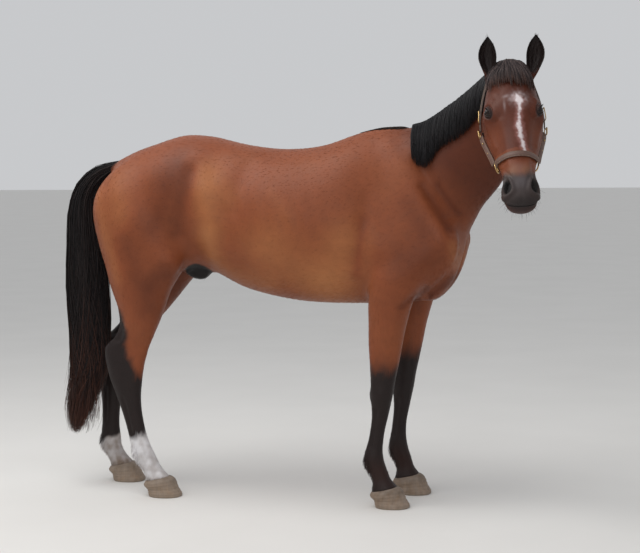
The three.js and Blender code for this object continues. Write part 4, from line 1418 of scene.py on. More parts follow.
def shape_eyes(points):
    """Draws the skin down to the eyeball inside an almond, stands the lids up round it as a
    part of a slightly larger ball, and eases that back into the face."""
    for side in SIDES:
        axes = eye_axes(side)
        eye = eye_at(side)
        local = (points - eye) @ axes.T
        u, v, w = local.T
        arch = v + LID_SLANT * u
        tall = np.where(arch > 0, LID_RISE, 10.0)
        q = np.sqrt(np.abs(u / LID_HALF) ** 2.0 + np.abs(arch / tall) ** 2.0)
        ball = EYE_RADIUS - 4.5 + 6.0 * ease(q, 0.93, 1.08)
        ball += 2.6 * bump(q - 1.32, 0.24) * (0.75 + 0.5 * (arch > 0))
        ball -= 1.6 * bump(q - 1.8, 0.14) * ease(arch, -8, 4)
        ball += 2.0 * bump(q - 2.1, 0.22) * ease(arch, -6, 6)
        ball += 1.0 * bump(q - 1.9, 0.2) * ease(-arch, 0, 8)
        flat = np.minimum(u * u + v * v, 0.94 * ball * ball)
        target = np.sqrt(ball * ball - flat)
        share = (1 - ease(q, 1.5, 2.9)) * (w > -12) * (np.hypot(u, v) < 62)
        points = points + ((target - w) * share)[:, None] * axes[2]
    return points


def shape_muzzle(points, normals):
    """Closed lips, the lower one set back, and a deep comma on each side of the muzzle, its
    inner wing raised and rounded."""
    head = in_head(points)
    line, below = by_mouth(head)
    total = -5.0 * bump(line, 2.4) - 3.0 * bump(line - 8, 6) * below
    total += 2.2 * bump(line - 7, 5) * (1 - below)
    for side in SIDES:
        along = unit(np.array([0.93, 0.33 * side, -0.16]))
        out = unit(np.array([0.05, 0.62 * side, 0.78]))
        out = unit(out - along * (out @ along))
        across = np.cross(out, along) * side
        d = head - (NOSTRIL[0], side * NOSTRIL[1], NOSTRIL[2])
        u, v, w = d @ along, d @ across, d @ out
        v = v - 0.011 * u * u + 1.5
        wide = 15 + 4 * ease(u, -18, 12)
        q = np.hypot(u / 32, v / wide)
        close = bump(w / 34)
        total -= 17 * (1 - ease(q, 0.55, 1.1)) * close
        total += 4.2 * bump(q - 1.42, 0.34) * close * (0.7 + 0.3 * (v > 0))
        total -= 2.0 * bump(q - 2.3, 0.4) * close
    return points + normals * total[:, None]


def lie_of(points):
    """Unit way the hair lies and how upright it is: back and down on the trunk, down the legs,
    down the neck, along the face."""
    x, _, z = points.T
    legs = ease(980 - z, 0, 160)
    way = mix(np.array([-1.0, 0.0, -0.32]), np.array([-0.12, 0.0, -1.0]), legs)
    way = mix(way, np.array([-0.35, 0.0, -1.0]), ease(x, 190, 300) * (1 - legs))
    rump = ease(-x, 1040, 1160) * (1 - legs)
    way = mix(way, np.array([-0.2, 0.0, -1.0]), rump)
    place, _ = neck_place(points)
    neck = ease(place, 1.6, 3.0)
    down = unit(neck_middle(np.maximum(place - 0.1, 0)) - neck_middle(place + 0.1))
    way = mix(way, down + (0, 0, -0.45), neck)
    head = in_head(points)
    on_head = ease(head[:, 0], 20, 90) * ease(head[:, 2], -330, -280)
    cheek = ease(-head[:, 2], 60, 160)
    face = HEAD_ALONG + HEAD_AXES[1] * (0.25 * np.tanh(head[:, 1] / 40))[:, None]
    face = face - HEAD_AXES[2] * (0.5 * cheek)[:, None]
    way = unit(mix(way, face, on_head))
    return way, np.abs(way[:, 2])


# Parts of the atlas that the skin is unwrapped on: left, bottom, width and height of each.
ATLAS = {
    "trunk": (0.01, 0.01, 0.62, 0.44),
    "neck": (0.66, 0.01, 0.33, 0.30),
    "head": (0.66, 0.34, 0.33, 0.34),
    "ears": (0.66, 0.71, 0.33, 0.28),
    ("fore", RIGHT): (0.01, 0.48, 0.145, 0.51),
    ("fore", LEFT): (0.17, 0.48, 0.145, 0.51),
    ("hind", RIGHT): (0.33, 0.48, 0.145, 0.51),
    ("hind", LEFT): (0.49, 0.48, 0.145, 0.51),
}


def skin_part(points):
    """Which part of the atlas each point belongs to, by number in ATLAS's order."""
    part = np.zeros(len(points), int)
    part[past_neck_base(points) > 0] = 1
    head = in_head(points)
    part[((head - (68, 0, -185)) @ np.array([0.882, 0, 0.471]) > 0) & (points[:, 0] > 420)] = 2
    low = points[:, 2] < 935
    for number, (kind, side) in enumerate(LEG_TABLES, 4):
        fore = points[:, 0] > -400
        part[low & (fore == (kind == "fore")) & (points[:, 1] * side > 0)] = number
    return part


def skin_place(points, part):
    """Angle round a part and share of the way along it, 0 to 1."""
    angle = np.arctan2(points[:, 2] - 1230, points[:, 1])
    along = (points[:, 0] + 1260) / 1640
    on = part == 1
    place, _ = neck_place(points[on])
    middle, depth, left, _, _ = neck_frames(place)
    away = points[on] - middle
    angle[on] = np.arctan2(np.sum(away * unit(depth), 1), np.sum(away * left, 1))
    along[on] = place / NECK[-1][0]
    on = part == 2
    head = in_head(points[on])
    angle[on] = np.arctan2(head[:, 2] + AXIS_DEPTH, head[:, 1])
    along[on] = (head[:, 0] + 50) / 680
    for number, ((_, side), (_, path, out)) in enumerate(LEG_TABLES.items(), 4):
        on = part == number
        ahead = points[on, 0] - leg_middle(path, points[on, 2])
        angle[on] = np.arctan2(points[on, 1] - side * out, ahead)
        along[on] = (points[on, 2] - 60) / 890
    return angle, np.clip(along, 0, 1)


def on_atlas(part, turn, along):
    """(u, v) of a turn from 0 to 1 and a share along, in each part's rectangle."""
    left, bottom, width, height = np.array(list(ATLAS.values()))[part].T
    return np.stack([left + width * (0.04 + 0.92 * turn), bottom + height * along], -1)


def atlas_roots(points):
    """Where points of the skin lie on the atlas."""
    part = skin_part(points)
    angle, along = skin_place(points, part)
    return on_atlas(part, angle / (2 * np.pi) + 0.5, along)


def ear_roots(points, inside_of):
    """Where points of the ears lie on the atlas: backs and insides of both, side by side, by
    whether the middle of their face is inside."""
    left, bottom, width, height = ATLAS["ears"]
    on_left = in_head(inside_of)[:, 1] > 0
    uv = np.zeros((len(points), 2))
    for side in SIDES:
        mine = on_left == (side == LEFT)
        base, up, _, across = ear_axes(side)
        away = points[mine] - base
        inner = ear_size(side, inside_of[mine]) < EAR_INSIDE
        turn = 0.13 + 0.5 * (side == LEFT) + 0.24 * inner
        turn += 0.11 * np.clip(away @ across / 42, -1, 1)
        rise = np.clip((away @ up + 24) / 200, 0, 1)
        uv[mine] = np.stack([left + width * turn, bottom + height * rise], -1)
    return uv


def unwrap_skin(mesh, body_points):
    """Unrolls each part of the skin; a face across a cut takes its place beside its middle.
    Faces past the body's points are the ears, laid out as their own grids."""
    corner = fetched(mesh.loops, "vertex_index")
    start, total = (fetched(mesh.polygons, name) for name in ("loop_start", "loop_total"))
    points, _ = points_of(mesh)
    points = to_table(points)
    face = np.repeat(np.arange(len(start)), total)
    centre = np.add.reduceat(points[corner], start) / total[:, None]
    part = skin_part(centre)
    middle_angle, _ = skin_place(centre, part)
    angle, along = skin_place(points[corner], part[face])
    near = (angle - middle_angle[face] + np.pi) % (2 * np.pi) - np.pi + middle_angle[face]
    uv = on_atlas(part[face], near / (2 * np.pi) + 0.5, along)
    ear = corner >= body_points
    uv[ear] = ear_roots(points[corner[ear]], centre[face[ear]])
    add_bake_map(mesh, uv)


# ---------------------------------------------------------------- settings


class HorseSizes(bpy.types.PropertyGroup):
    """Sizes and counts that change how finely the horse is made."""

    coat_depth: FloatProperty(
        name="Coat depth", description="How far the skin lies inside the solids",
        default=0.0025, min=0.0, unit="LENGTH",
    )
    voxel: FloatProperty(
        name="Skin cell", description="Cell size that the lofts are joined at",
        default=0.0045, min=0.003, unit="LENGTH",
    )
    skin_faces: IntProperty(
        name="Skin triangles", description="About how many triangles the body's skin keeps",
        default=145000, min=20000,
    )
    mane_locks: IntProperty(
        name="Mane locks", description="Locks in the mane", default=2700, min=100,
    )
    tail_locks: IntProperty(
        name="Tail locks", description="Locks in each half of the tail", default=1750, min=100,
    )


class HorseColours(bpy.types.PropertyGroup):
    """Colours that a user would change."""

    horn: FloatVectorProperty(
        name="Hoof horn", description="Colour of the hooves", subtype="COLOR",
        default=tuple(sized((124, 104, 86))), min=0, max=1,
    )
    leather: FloatVectorProperty(
        name="Halter leather", description="Colour of the straps", subtype="COLOR",
        default=tuple(sized((92, 68, 60))), min=0, max=1,
    )
    thread: FloatVectorProperty(
        name="Halter thread", description="Colour of the stitches", subtype="COLOR",
        default=tuple(sized((168, 140, 112))), min=0, max=1,
    )


# ---------------------------------------------------------------- operators


class HORSE_OT_skin(bpy.types.Operator):
    """One skin over the whole body: lofts joined in cells, drawn smooth where they meet, then
    sculpted, thinned where it is plain, and shaped finely round the eyes and nostrils"""

    bl_idname = "horse.skin"
    bl_label = "Skin"

    def execute(self, context):
        sizes = context.scene.horse_sizes
        skin = add_body("skin", body_lofts(-sizes.coat_depth / MM))
        add_modifier(skin, "cells", "REMESH", mode="VOXEL", voxel_size=sizes.voxel)
        baked(skin)
        points, _ = points_of(skin.data)
        seams = weigh(skin, "seams", seam_weights(to_table(points)))
        add_modifier(skin, "draw across seams", "SMOOTH", vertex_group=seams, factor=0.5,
                     iterations=380)
        add_modifier(skin, "even out the cells", "SMOOTH", factor=0.5, iterations=10)
        baked(skin)
        skin.vertex_groups.clear()

        points, normals = points_of(skin.data)
        points = to_table(points)
        head = in_head(points)
        on_head = ease(head[:, 0], -20, 60) * (np.abs(head[:, 1]) < 170) * (head[:, 2] > -330)
        inside = (points[:, 1] * normals[:, 1] < 0) * 1.0
        height = flank_relief(points, normals, inside) * (1 - on_head) + leg_relief(points)
        near = np.flatnonzero(on_head > 0)
        height[near] += head_relief(head[near]) * on_head[near]
        points += normals * height[:, None]
        move_points(skin.data, points)

        plain = 1 - ease(head[:, 0], -30, 40) * (np.abs(head[:, 1]) < 170) * (head[:, 2] > -300)
        feet = ease(260 - points[:, 2], 0, 120)
        add_modifier(skin, "settle the sculpting", "SMOOTH", factor=0.5, iterations=2)
        thinned = weigh(skin, "plain", plain * (1 - 0.6 * feet))
        triangles = 2 * len(skin.data.polygons)
        add_modifier(skin, "thin the plain parts", "DECIMATE", vertex_group=thinned,
                     ratio=min(1.0, sizes.skin_faces / triangles))
        baked(skin)
        skin.vertex_groups.clear()

        refine(skin.data, [
            lambda p: near_eye(p, 44) | near_nose(p, 40) | (by_mouth(in_head(p))[0] < 14),
            lambda p: near_eye(p, 31) | (by_mouth(in_head(p))[0] < 7),
        ])
        skin.data.update()
        points, normals = points_of(skin.data)
        points = shape_muzzle(to_table(points), normals)
        move_points(skin.data, shape_eyes(points))
        self.add_ears(skin)
        finish(skin, coat_material)
        every = [f"{kind}leg_{SIDES[side]}" for kind, side in LEG_TABLES]
        ears = [f"ear_{word}" for word in SIDES.values()]
        settle(skin, "coat", "head", "neck", "trunk", *every, *ears)
        return {"FINISHED"}

    def add_ears(self, skin):
        """Joins the two ears to the skin's mesh and colours and unwraps the whole."""
        body, body_normals = points_of(skin.data)
        body = to_table(body)
        colour, bare = markings(body, body_normals)
        lie = lie_of(body)[1]
        ears = [closed_tube(ear_points(side, 0.4)) for side in SIDES]
        colours, bares = [colour], [bare]
        for side, (points, _, _) in zip(SIDES, ears):
            shade, inner = ear_colour(side, points)
            colours.append(shade)
            bares.append(0.3 * inner)
        both = join_bodies(ears)
        ear_piece = add_body("ears", both)
        work = bmesh.new()
        work.from_mesh(skin.data)
        work.from_mesh(ear_piece.data)
        work.to_mesh(skin.data)
        work.free()
        bpy.data.objects.remove(ear_piece)
        skin.data.polygons.foreach_set("use_smooth", np.ones(len(skin.data.polygons), bool))
        skin.data.update()
        paint(skin, "coat", np.concatenate(colours))
        paint(skin, "bare", np.concatenate(bares))
        paint(skin, "lie", np.concatenate([lie, np.ones(len(both[0]))]))
        unwrap_skin(skin.data, len(body))


class HORSE_OT_eyes(bpy.types.Operator):
    """Two eyeballs: round grids about the eye's own axis with a swollen cornea, a brown iris
    and a long level pupil"""

    bl_idname = "horse.eyes"
    bl_label = "Eyes"

    def execute(self, context):
        for side, word in SIDES.items():
            axes = eye_axes(side)
            turn = np.concatenate([np.linspace(0.004, 1.1, 60), np.linspace(1.15, 3.13, 24)])
            c, s = turns(72)
            size = EYE_RADIUS + 1.1 * bump(turn, 0.5)
            u = (size * np.sin(turn))[:, None] * c
            v = (size * np.sin(turn))[:, None] * s
            w = np.broadcast_to((size * np.cos(turn))[:, None], u.shape)
            local = np.stack([u, v, w], -1)
            eye = eye_at(side)
            body = closed_tube(local @ axes + eye)
            ball = add_body(f"eyeball_{word}", body)
            local = (body[0] - eye) @ axes.T
            r = np.hypot(local[:, 0], local[:, 1])
            white = mix(sized((52, 32, 25)), sized((18, 11, 9)), bump(r / 22) * 0.6)
            iris = mix(white, sized((30, 15, 9)), 1 - ease(r, 15.5, 17))
            iris = mix(iris, sized((12, 7, 6)), bump(r - 15.5, 1.4) * 0.8)
            pupil = np.hypot(local[:, 0] / 8.5, local[:, 1] / 4.4)
            tint = mix(iris, sized((2, 2, 3)), 1 - ease(pupil, 0.88, 1.08))
            tint = mix(tint, sized((30, 20, 18)), ease(-local[:, 2], -4, 4))
            paint(ball, "coat", tint)
            finish(ball, eye_material)
            settle(ball, "eye", f"eye_{word}")
        return {"FINISHED"}


class HORSE_OT_hooves(bpy.types.Operator):
    """Four hooves: sections that widen to a flat sole, ringed as they grow, notched between
    the heels, a little worn at the edge"""

    bl_idname = "horse.hooves"
    bl_label = "Hooves"

    def execute(self, context):
        horn = np.array(context.scene.horse_colours.horn)
        for (kind, side), (_, path, out) in LEG_TABLES.items():
            coronet = float(leg_middle(path, HOOF_TOP))
            z = np.concatenate([[0.0, 1.2, 2.6], np.linspace(5, 77, 46)])
            deep, wide, shift, rise = read_rows(HOOF, z).T[:, :, None]
            c, s = turns(88)
            heel = bump(np.arctan2(s, -c), 0.30)
            ring = 0.55 * np.sin(z[:, None] * 0.52 + 0.9 * c + 0.3 * np.sin(3 * s))
            ring += 0.3 * np.sin(z[:, None] * 1.31 + 2 * s)
            grow = ring * ease(z, 4, 10)[:, None] - 9 * heel * ease(60 - z, -20, 30)[:, None]
            edge = -0.8 * np.abs(np.sin(5 * s + 2 * c)) * bump(z, 4)[:, None]
            size = 1 + (grow + edge) / 66
            ahead = deep * power(c, 2.2) * size
            across = wide * power(s, 2.2) * size
            up = z[:, None] + rise * deep * power(c, 2.2)
            points = stacked(coronet + shift + ahead, side * out + across, up)
            points[..., 2] = np.maximum(points[..., 2], 0)
            body = closed_tube(points)
            name = f"{kind}hoof_{SIDES[side]}"
            hoof = add_body(f"{name}_horn", body)
            p = body[0]
            low = ease(16 - p[:, 2], 0, 16)
            tint = mix(horn, horn * 0.62, ease(p[:, 2], 44, 76))
            tint = mix(tint, sized((142, 126, 110)), 0.6 * low)
            stripe = rough_edge(p * (1, 1, 0.15), 5, 0.5)
            tint = tint * (1 + 0.35 * stripe)[:, None]
            if kind == "hind":
                tint = mix(tint, sized((150, 134, 116)), 0.25)
            paint(hoof, "coat", np.clip(tint, 0, 1))
            finish(hoof, horn_material)
            settle(hoof, "hoof", name)
        return {"FINISHED"}


# ---------------------------------------------------------------- hair


class OnSkin:
    """The finished skin: its triangles, and its body without the ears for laying things on,
    found by rays from the line that the strap angles turn about, or nearest."""

    def __init__(self):
        mesh = bpy.data.objects["skin"].data
        mesh.calc_loop_triangles()
        self.corner = fetched(mesh.loop_triangles, "vertices", width=3).reshape(-1, 3)
        points, self.normals = points_of(mesh)
        self.points = to_table(points)
        a, b, c = points[self.corner.T]
        self.area = np.linalg.norm(np.cross(b - a, c - a), axis=1) / 2
        ears = sum(len(closed_tube(ear_points(side))[0]) for side in SIDES)
        self.on_ears = (self.corner >= len(points) - ears).any(1)
        body = self.corner[~self.on_ears]
        self.tree = BVHTree.FromPolygons(points.tolist(), body.tolist(), all_triangles=True)

    def value(self, name, width):
        """An attribute of the skin as rows."""
        data = bpy.data.objects["skin"].data.attributes[name].data
        found = fetched(data, "value" if width == 1 else "color", np.float32, width)
        return found.reshape(-1, width).astype(float)

    def roots(self, draw, wanted):
        """Triangles and places in them, spread by how many are wanted to the square metre."""
        many = np.cumsum(wanted * self.area)
        count = int(many[-1])
        chosen = np.searchsorted(many, (np.arange(count) + draw.random(count)) * many[-1] / count)
        chosen = np.minimum(chosen, len(many) - 1)
        far, turn = np.sqrt(draw.random(count)), draw.random(count)
        return chosen, np.stack([1 - far, far * (1 - turn), far * turn], 1)

    def blend(self, values, chosen, shares):
        """Values of the skin's points at places in triangles."""
        return np.einsum("ij,ijk->ik", shares, values[self.corner[chosen]])

    def at(self, along, degrees, lift):
        """The skin's point at a place along the head and a turn round it, and the way out."""
        turn = math.radians(degrees)
        start = from_head((along, 0, -AXIS_DEPTH))
        way = np.array([0, math.cos(turn), math.sin(turn)]) @ HEAD_AXES
        hit, normal, _, _ = self.tree.ray_cast(Vector(to_frame(start)), Vector(way))
        if hit is None:
            raise RuntimeError(f"no skin at {along}, {degrees}")
        return to_table(np.array(hit)) + way * lift, unit(way + 0.8 * np.array(normal))

    def lay(self, paths, height, hold=True):
        """Moves points to a height off the skin beneath, or only lifts those that are lower."""
        flat = paths.reshape(-1, 3)
        found = [self.tree.find_nearest(Vector(p)) for p in to_frame(flat)]
        spot = to_table(np.array([f[0] for f in found]))
        way = np.array([f[1] for f in found])
        now = np.sum((flat - spot) * way, 1)
        height = np.broadcast_to(height, paths.shape[:2]).ravel()
        if hold:
            laid = spot + way * height[:, None]
        else:
            laid = flat + way * np.maximum(height - now, 0)[:, None]
        return laid.reshape(paths.shape)


def smoothed(rows, times):
    """Each row moved towards its neighbours' mean, the ends held."""
    rows = rows.copy()
    for _ in range(times):
        rows[1:-1] = (rows[:-2] + 2 * rows[1:-1] + rows[2:]) / 4
    return rows


# Place along the neck and how far the mane hangs straight down from there.
MANE_FALL = [
    [1.3, 100], [1.5, 135], [1.7, 160], [2.07, 184], [2.3, 180], [2.55, 160], [2.82, 150],
    [3.2, 154], [3.6, 156], [3.95, 152], [4.5, 146], [5.2, 136], [5.8, 122], [6.4, 100],
]
MANE_CLUMPS, FORELOCK_CLUMPS, TAIL_CLUMPS = 84, 46, 95
LASHES = 60         # on each upper lid


def clump(values, draw, count, pull):
    """Moves each lock's value towards the middle of the clump of neighbours it belongs to."""
    order = np.argsort(values + 0.015 * np.ptp(values) * draw.standard_normal(len(values)))
    group = np.empty(len(values), int)
    group[order] = np.arange(len(values)) * count // len(values)
    centre = np.bincount(group, values, count) / np.bincount(group, minlength=count)
    return group, centre[group] * pull + values * (1 - pull)


def tapered(steps, size, tip=0.25, start=0.75):
    """Half widths that swell a little past the root and narrow to the tip."""
    t = np.linspace(0, 1, steps)
    shape = (start + (1 - start) * ease(t, 0, 0.25)) * (1 - (1 - tip) * t ** 2.5)
    return size[:, None] * shape


def hair_shades(draw, count, steps, dark, light, tip=None, tip_from=0.7):
    """Each lock between two shades, its end eased to a third."""
    share = draw.random(count) ** 1.6
    root = mix(dark, light, share)
    rings = np.repeat(root[:, None], steps, axis=1)
    if tip is not None:
        t = np.linspace(0, 1, steps)
        reach = tip_from + 0.25 * draw.random(count)
        end = ease(t[None], reach[:, None] - 0.15, reach[:, None] + 0.2)
        rings = mix(rings, tip, end * (0.3 + 0.7 * draw.random(count))[:, None])
    return rings


def hair_piece(name, paths, width, thick, hint, shades, root_uv):
    """Locks with their shades and their patches of the bake map, as one piece."""
    steps = paths.shape[1]
    piece = add_body(name, locks(paths, width, thick, hint))
    paint(piece, "coat", lock_values(np.clip(shades, 0, 1), steps))
    unwrap(piece, lock_patches(root_uv, steps))
    finish(piece, hair_material)
    return piece


def mane_paths(place, fall, layer, steps, draw):
    """Hair hung from the crest: each step goes straight down by the same drop, and stays on
    the neck's right side by sliding along the neck and round its section."""
    count = len(place)
    t = np.linspace(0, 1, steps)
    near = 0.05
    crest = [neck_at(place + d, np.full(count, np.pi / 2), np.zeros(count)) for d in (-near, near)]
    _, depth, side, _, _ = neck_frames(place)
    ahead = (crest[1] - crest[0]) / (2 * near) * 0.6
    ahead += (neck_middle(place + near) - neck_middle(place - near)) / (2 * near) * 0.4
    basis = np.stack([ahead, unit(depth), side], -1)
    down = np.linalg.solve(basis, np.tile([[0.14], [0.0], [-1.0]], (count, 1, 1)))[..., 0]
    _, pulled = clump(place, draw, MANE_CLUMPS, 0.7)
    slide = (down[:, :1] * fall[:, None]) * t
    slide += (pulled - place)[:, None] * t ** 1.5
    slide += 0.012 * np.sin(2 * np.pi * (t * 1.3 + draw.random((count, 1)))) * t
    at = place[:, None] + slide
    mid, deep, left, half, square = neck_frames(at)
    length = np.linalg.norm(deep, axis=-1)
    drop = -down[:, 1:2] * fall[:, None] * t / length
    w = np.clip(1 - drop, -0.9, 1)
    rise = 9 * bump(t - 0.08, 0.1)
    off = 2 + rise + layer[:, None] * (2 + 9 * ease(t, 0, 0.3)) + 3 * t
    round_w = (1 - np.abs(w) ** square[..., 0]) ** (1 / square[..., 0])
    out = (half[..., 0] + off) * round_w
    paths = mid + unit(deep) * ((length + off) * w)[..., None] - left * out[..., None]
    hint = -left * round_w[..., None] + unit(deep) * (0.2 + np.clip(w, 0, 1))[..., None]
    return paths, unit(hint)


def tuft_wants(points, normals, bare):
    """Tufts wanted to the square metre and their length: few and short where the coat lies
    flat, many where the skin turns under, behind, round the feet, the jaw and the lips."""
    x, _, z = points.T
    a, s, o = in_head(points).T
    many, long = np.full(len(points), 3300.0), np.full(len(points), 13.0)
    under = ease(-normals[:, 2], 0.3, 0.8) * (z > 640)
    behind = ease(-normals[:, 0], 0.4, 0.9) * (x < -1000) * (z > 640)
    breast = bump(np.hypot((x - 330) / 90, (z - 1060) / 150))
    low = ease(800 - z, 0, 200)
    heel = bump(z - HEEL, 55) * ease(-normals[:, 0], -0.1, 0.6)
    rim = ease(100 - z, 0, 18)
    for share, more, extra in (
        (under, 4200, 4), (behind, 3000, 2), (breast, 2500, 3), (low, 5000, -4),
        (heel, 26000, 15), (rim, 24000, 5),
    ):
        many += more * share
        long += extra * share
    face = ease(a, 0, 60) * (o > -300) * (np.abs(s) < 150)
    many = many * (1 - face) + (13000 - 7000 * bare) * face
    long = long * (1 - face) + (5 - 1.2 * ease(a, 300, 520) + 4 * ease(-o, 190, 240)) * face
    lids = near_eye(points, 46)
    return many * np.where(lids, 0.4, 1), long


class HORSE_OT_coat(bpy.types.Operator):
    """Coat: tufts of short hair rooted in the skin and lying along it, a piece for each part of
    the body, with fuller ones at the fetlocks, under the belly and in the ears, and whiskers"""

    bl_idname = "horse.coat"
    bl_label = "Short coat"

    def execute(self, context):
        skin = OnSkin()
        draw = np.random.default_rng(SEED + 3)
        # The skin's colours, painted highlights and painted shade with them, for the tufts to take at
        # their roots.
        self.colours = skin.value("coat", 4)[:, :3]
        bare = skin.value("bare", 1)
        middle = skin.points[skin.corner].mean(1)
        facing = unit(skin.normals[skin.corner].mean(1))
        many, long = tuft_wants(middle, facing, bare[skin.corner][..., 0].mean(1))
        part = skin_part(middle)
        part[skin.on_ears] = 3
        for name, numbers in (("trunk", (0,)), ("neck", (1,)), ("head", (2,)), ("ears", (3,)),
                              ("forelegs", (4, 5)), ("hindlegs", (6, 7))):
            self.tufts(skin, draw, name, np.isin(part, numbers), many, long)
        self.whiskers(skin, draw, middle)
        return {"FINISHED"}

    def tufts(self, skin, draw, name, here, many, long):
        """One part's tufts, each swollen at the root and drawn out to a point."""
        ears = name == "ears"
        chosen, shares = skin.roots(draw, here * (36000.0 if ears else many))
        count, steps = len(chosen), 3
        root = skin.blend(skin.points, chosen, shares)
        out = unit(skin.blend(skin.normals, chosen, shares))
        way, upright = lie_of(root)
        length = long[chosen] * (0.7 + 0.6 * draw.random(count))
        stand = np.full(count, 0.03)
        if ears:
            for side in SIDES:
                mine = (in_head(root)[:, 1] > 0) == (side == LEFT)
                _, up, front, _ = ear_axes(side)
                inner = ear_size(side, root[mine]) < EAR_INSIDE
                way[mine] = unit(up + front * (0.5 * inner)[:, None])
                length[mine] = (5 + 8 * inner) * (0.6 + 0.7 * draw.random(mine.sum()))
                stand[mine] = 0.08 + 0.22 * inner
            uv = ear_roots(root, root)
        else:
            uv = atlas_roots(root)
            heel = bump(root[:, 2] - HEEL, 60) * (root[:, 2] < 330)
            stand += 0.3 * heel
            way = unit(way + heel[:, None] * (-0.35, 0.0, -0.5))
        way = unit(way + 0.16 * draw.standard_normal((count, 3)))
        way = unit(way - out * np.sum(way * out, 1, keepdims=True))
        t = np.linspace(0, 1, steps)
        rise = (stand + 0.08 * draw.random(count) ** 3)[:, None] * length[:, None] * t
        rise = rise + 0.7 * ease(t, 0, 0.5) - 0.35
        paths = (root[:, None] + way[:, None] * (length[:, None] * t)[..., None]
                 + out[:, None] * rise[..., None])
        size = (0.45 + 0.04 * length) * (0.7 + 0.5 * draw.random(count)) * (0.6 if ears else 1)
        width = size[:, None] * np.array([0.85, 1.0, 0.14])
        hint = np.repeat(out[:, None], steps, axis=1)
        body = locks(paths, width, width * 0.22, hint)
        piece = add_body(f"coat_{name}", body, smooth=False)
        colour = skin.blend(self.colours, chosen, shares)
        colour = colour * (0.94 + 0.22 * draw.random(count))[:, None]
        rings = np.repeat(colour[:, None], steps, axis=1)
        paint(piece, "coat", lock_values(np.clip(rings, 0, 1), steps))
        paint(piece, "bare", np.zeros(len(body[0])))
        paint(piece, "lie", np.repeat(upright, 3 * steps))
        unwrap(piece, lock_patches(uv, steps))
        finish(piece, coat_material)
        settle(piece, "coat")

    def whiskers(self, skin, draw, middle):
        """Long single hairs on the lips and chin, and lashes on the upper lids."""
        a, s, o = in_head(middle).T
        muzzle = ease(a, 500, 560) * ease(-o, 20, 60) * ~skin.on_ears * (np.abs(s) < 90)
        chosen, shares = skin.roots(draw, 3200.0 * muzzle)
        root = skin.blend(skin.points, chosen, shares)
        out = unit(skin.blend(skin.normals, chosen, shares))
        long = 12 + 22 * draw.random(len(root)) ** 2
        bend = unit(out + 0.5 * HEAD_ALONG + 0.15 * draw.standard_normal(root.shape))
        steps = 6
        t = np.linspace(0, 1, steps)[:, None]
        hairs = [root[:, None] + bend[:, None] * long[:, None, None] * t
                 + np.array([0, 0, -0.25]) * long[:, None, None] * t ** 2 - out[:, None]]
        hints = [np.repeat(out[:, None], steps, axis=1)]
        for side in SIDES:
            axes = eye_axes(side)
            eye = eye_at(side)
            u = np.linspace(-15, 14, LASHES) + 0.4 * draw.standard_normal(LASHES)
            v = LID_RISE * np.sqrt(np.clip(1 - (u / LID_HALF) ** 2, 0, 1)) - LID_SLANT * u + 0.8
            w = np.sqrt(np.clip((EYE_RADIUS + 1) ** 2 - u * u - v * v, 0, None))
            start = np.stack([u, v, w], 1)
            reach = (8 + 5 * draw.random(LASHES))[:, None]
            tip = start + reach * unit(np.stack([u / 30, 0.25 + 0 * u, 1 + 0 * u], 1))
            knee = (start + tip) / 2 - (0, 1.6, 0)
            line = start[:, None] * (1 - t) ** 2 + tip[:, None] * t ** 2
            line += 2 * knee[:, None] * t * (1 - t)
            hairs.append(line @ axes + eye)
            hints.append(np.tile(axes[1], (LASHES, steps, 1)))
        paths, hint = np.concatenate(hairs), np.concatenate(hints)
        width = tapered(steps, np.full(len(paths), 0.32), 0.2, 1.0)
        shades = np.tile(sized((34, 29, 28)), (len(paths), steps, 1))
        uv = np.stack([0.02 + 0.9 * (np.arange(len(paths)) % 20) / 20,
                       0.02 + 0.9 * (np.arange(len(paths)) // 20) / 40], 1)
        settle(hair_piece("whiskers", paths, width, width, hint, shades, uv), "hair")


class HORSE_OT_mane(bpy.types.Operator):
    """Mane: straight black locks hung from the crest down the right side of the neck, in
    clumps, with short ones over the withers"""

    bl_idname = "horse.mane"
    bl_label = "Mane"

    def execute(self, context):
        draw = np.random.default_rng(SEED)
        count, steps = context.scene.horse_sizes.mane_locks, 12
        place = 1.5 + 4.9 * draw.random(count)
        fall = read_rows(MANE_FALL, place)[:, 0] * (1.12 - 0.5 * draw.random(count) ** 1.6)
        layer = draw.random(count)
        paths, hint = mane_paths(place, fall, layer, steps, draw)
        least = 1.5 + layer[:, None] * 6 * np.linspace(0, 1, steps)
        paths = OnSkin().lay(paths, least, False)
        size = 1.5 + 1.1 * draw.random(count)
        width = tapered(steps, size, 0.25)
        shades = hair_shades(draw, count, steps, sized((11, 11, 14)), sized((30, 27, 30)),
                             sized((44, 31, 27)), 0.85)
        uv = np.column_stack([(place - 1.2) / 5.4, 0.02 + 0.94 * layer])
        mane = hair_piece("mane_locks", paths, width, width * 0.42, hint, shades, uv)
        settle(mane, "hair", "mane")
        self.withers(draw)
        return {"FINISHED"}

    def withers(self, draw):
        """Short sparse hair that ends the mane, lying back over the withers."""
        count, steps = 460, 6
        x = 150 - 235 * draw.random(count) ** 1.3
        t = np.linspace(0, 1, steps)
        long = (22 + 40 * draw.random(count)) * ease(x, -110, 120) + 8
        back = x[:, None] - long[:, None] * t * 0.9
        y = -4 + 7 * draw.standard_normal(count)[:, None] - long[:, None] * 0.4 * t
        z = read_rows(TRUNK, back)[..., 0] - 9 + 4 * np.sin(np.pi * t * 0.8) - y * y * 0.012
        paths = np.stack([back, y, z], -1)
        width = tapered(steps, 1.0 + 0.6 * draw.random(count), 0.2)
        hint = np.tile(np.array([0.0, -0.3, 1.0]), (count, steps, 1))
        shades = hair_shades(draw, count, steps, sized((24, 21, 23)), sized((60, 44, 38)))
        uv = np.column_stack([0.02 + (x + 100) / 260, np.clip(0.5 + (y[:, 0] / 60), 0.02, 0.97)])
        settle(hair_piece("mane_end", paths, width, width * 0.5, hint, shades, uv), "hair")


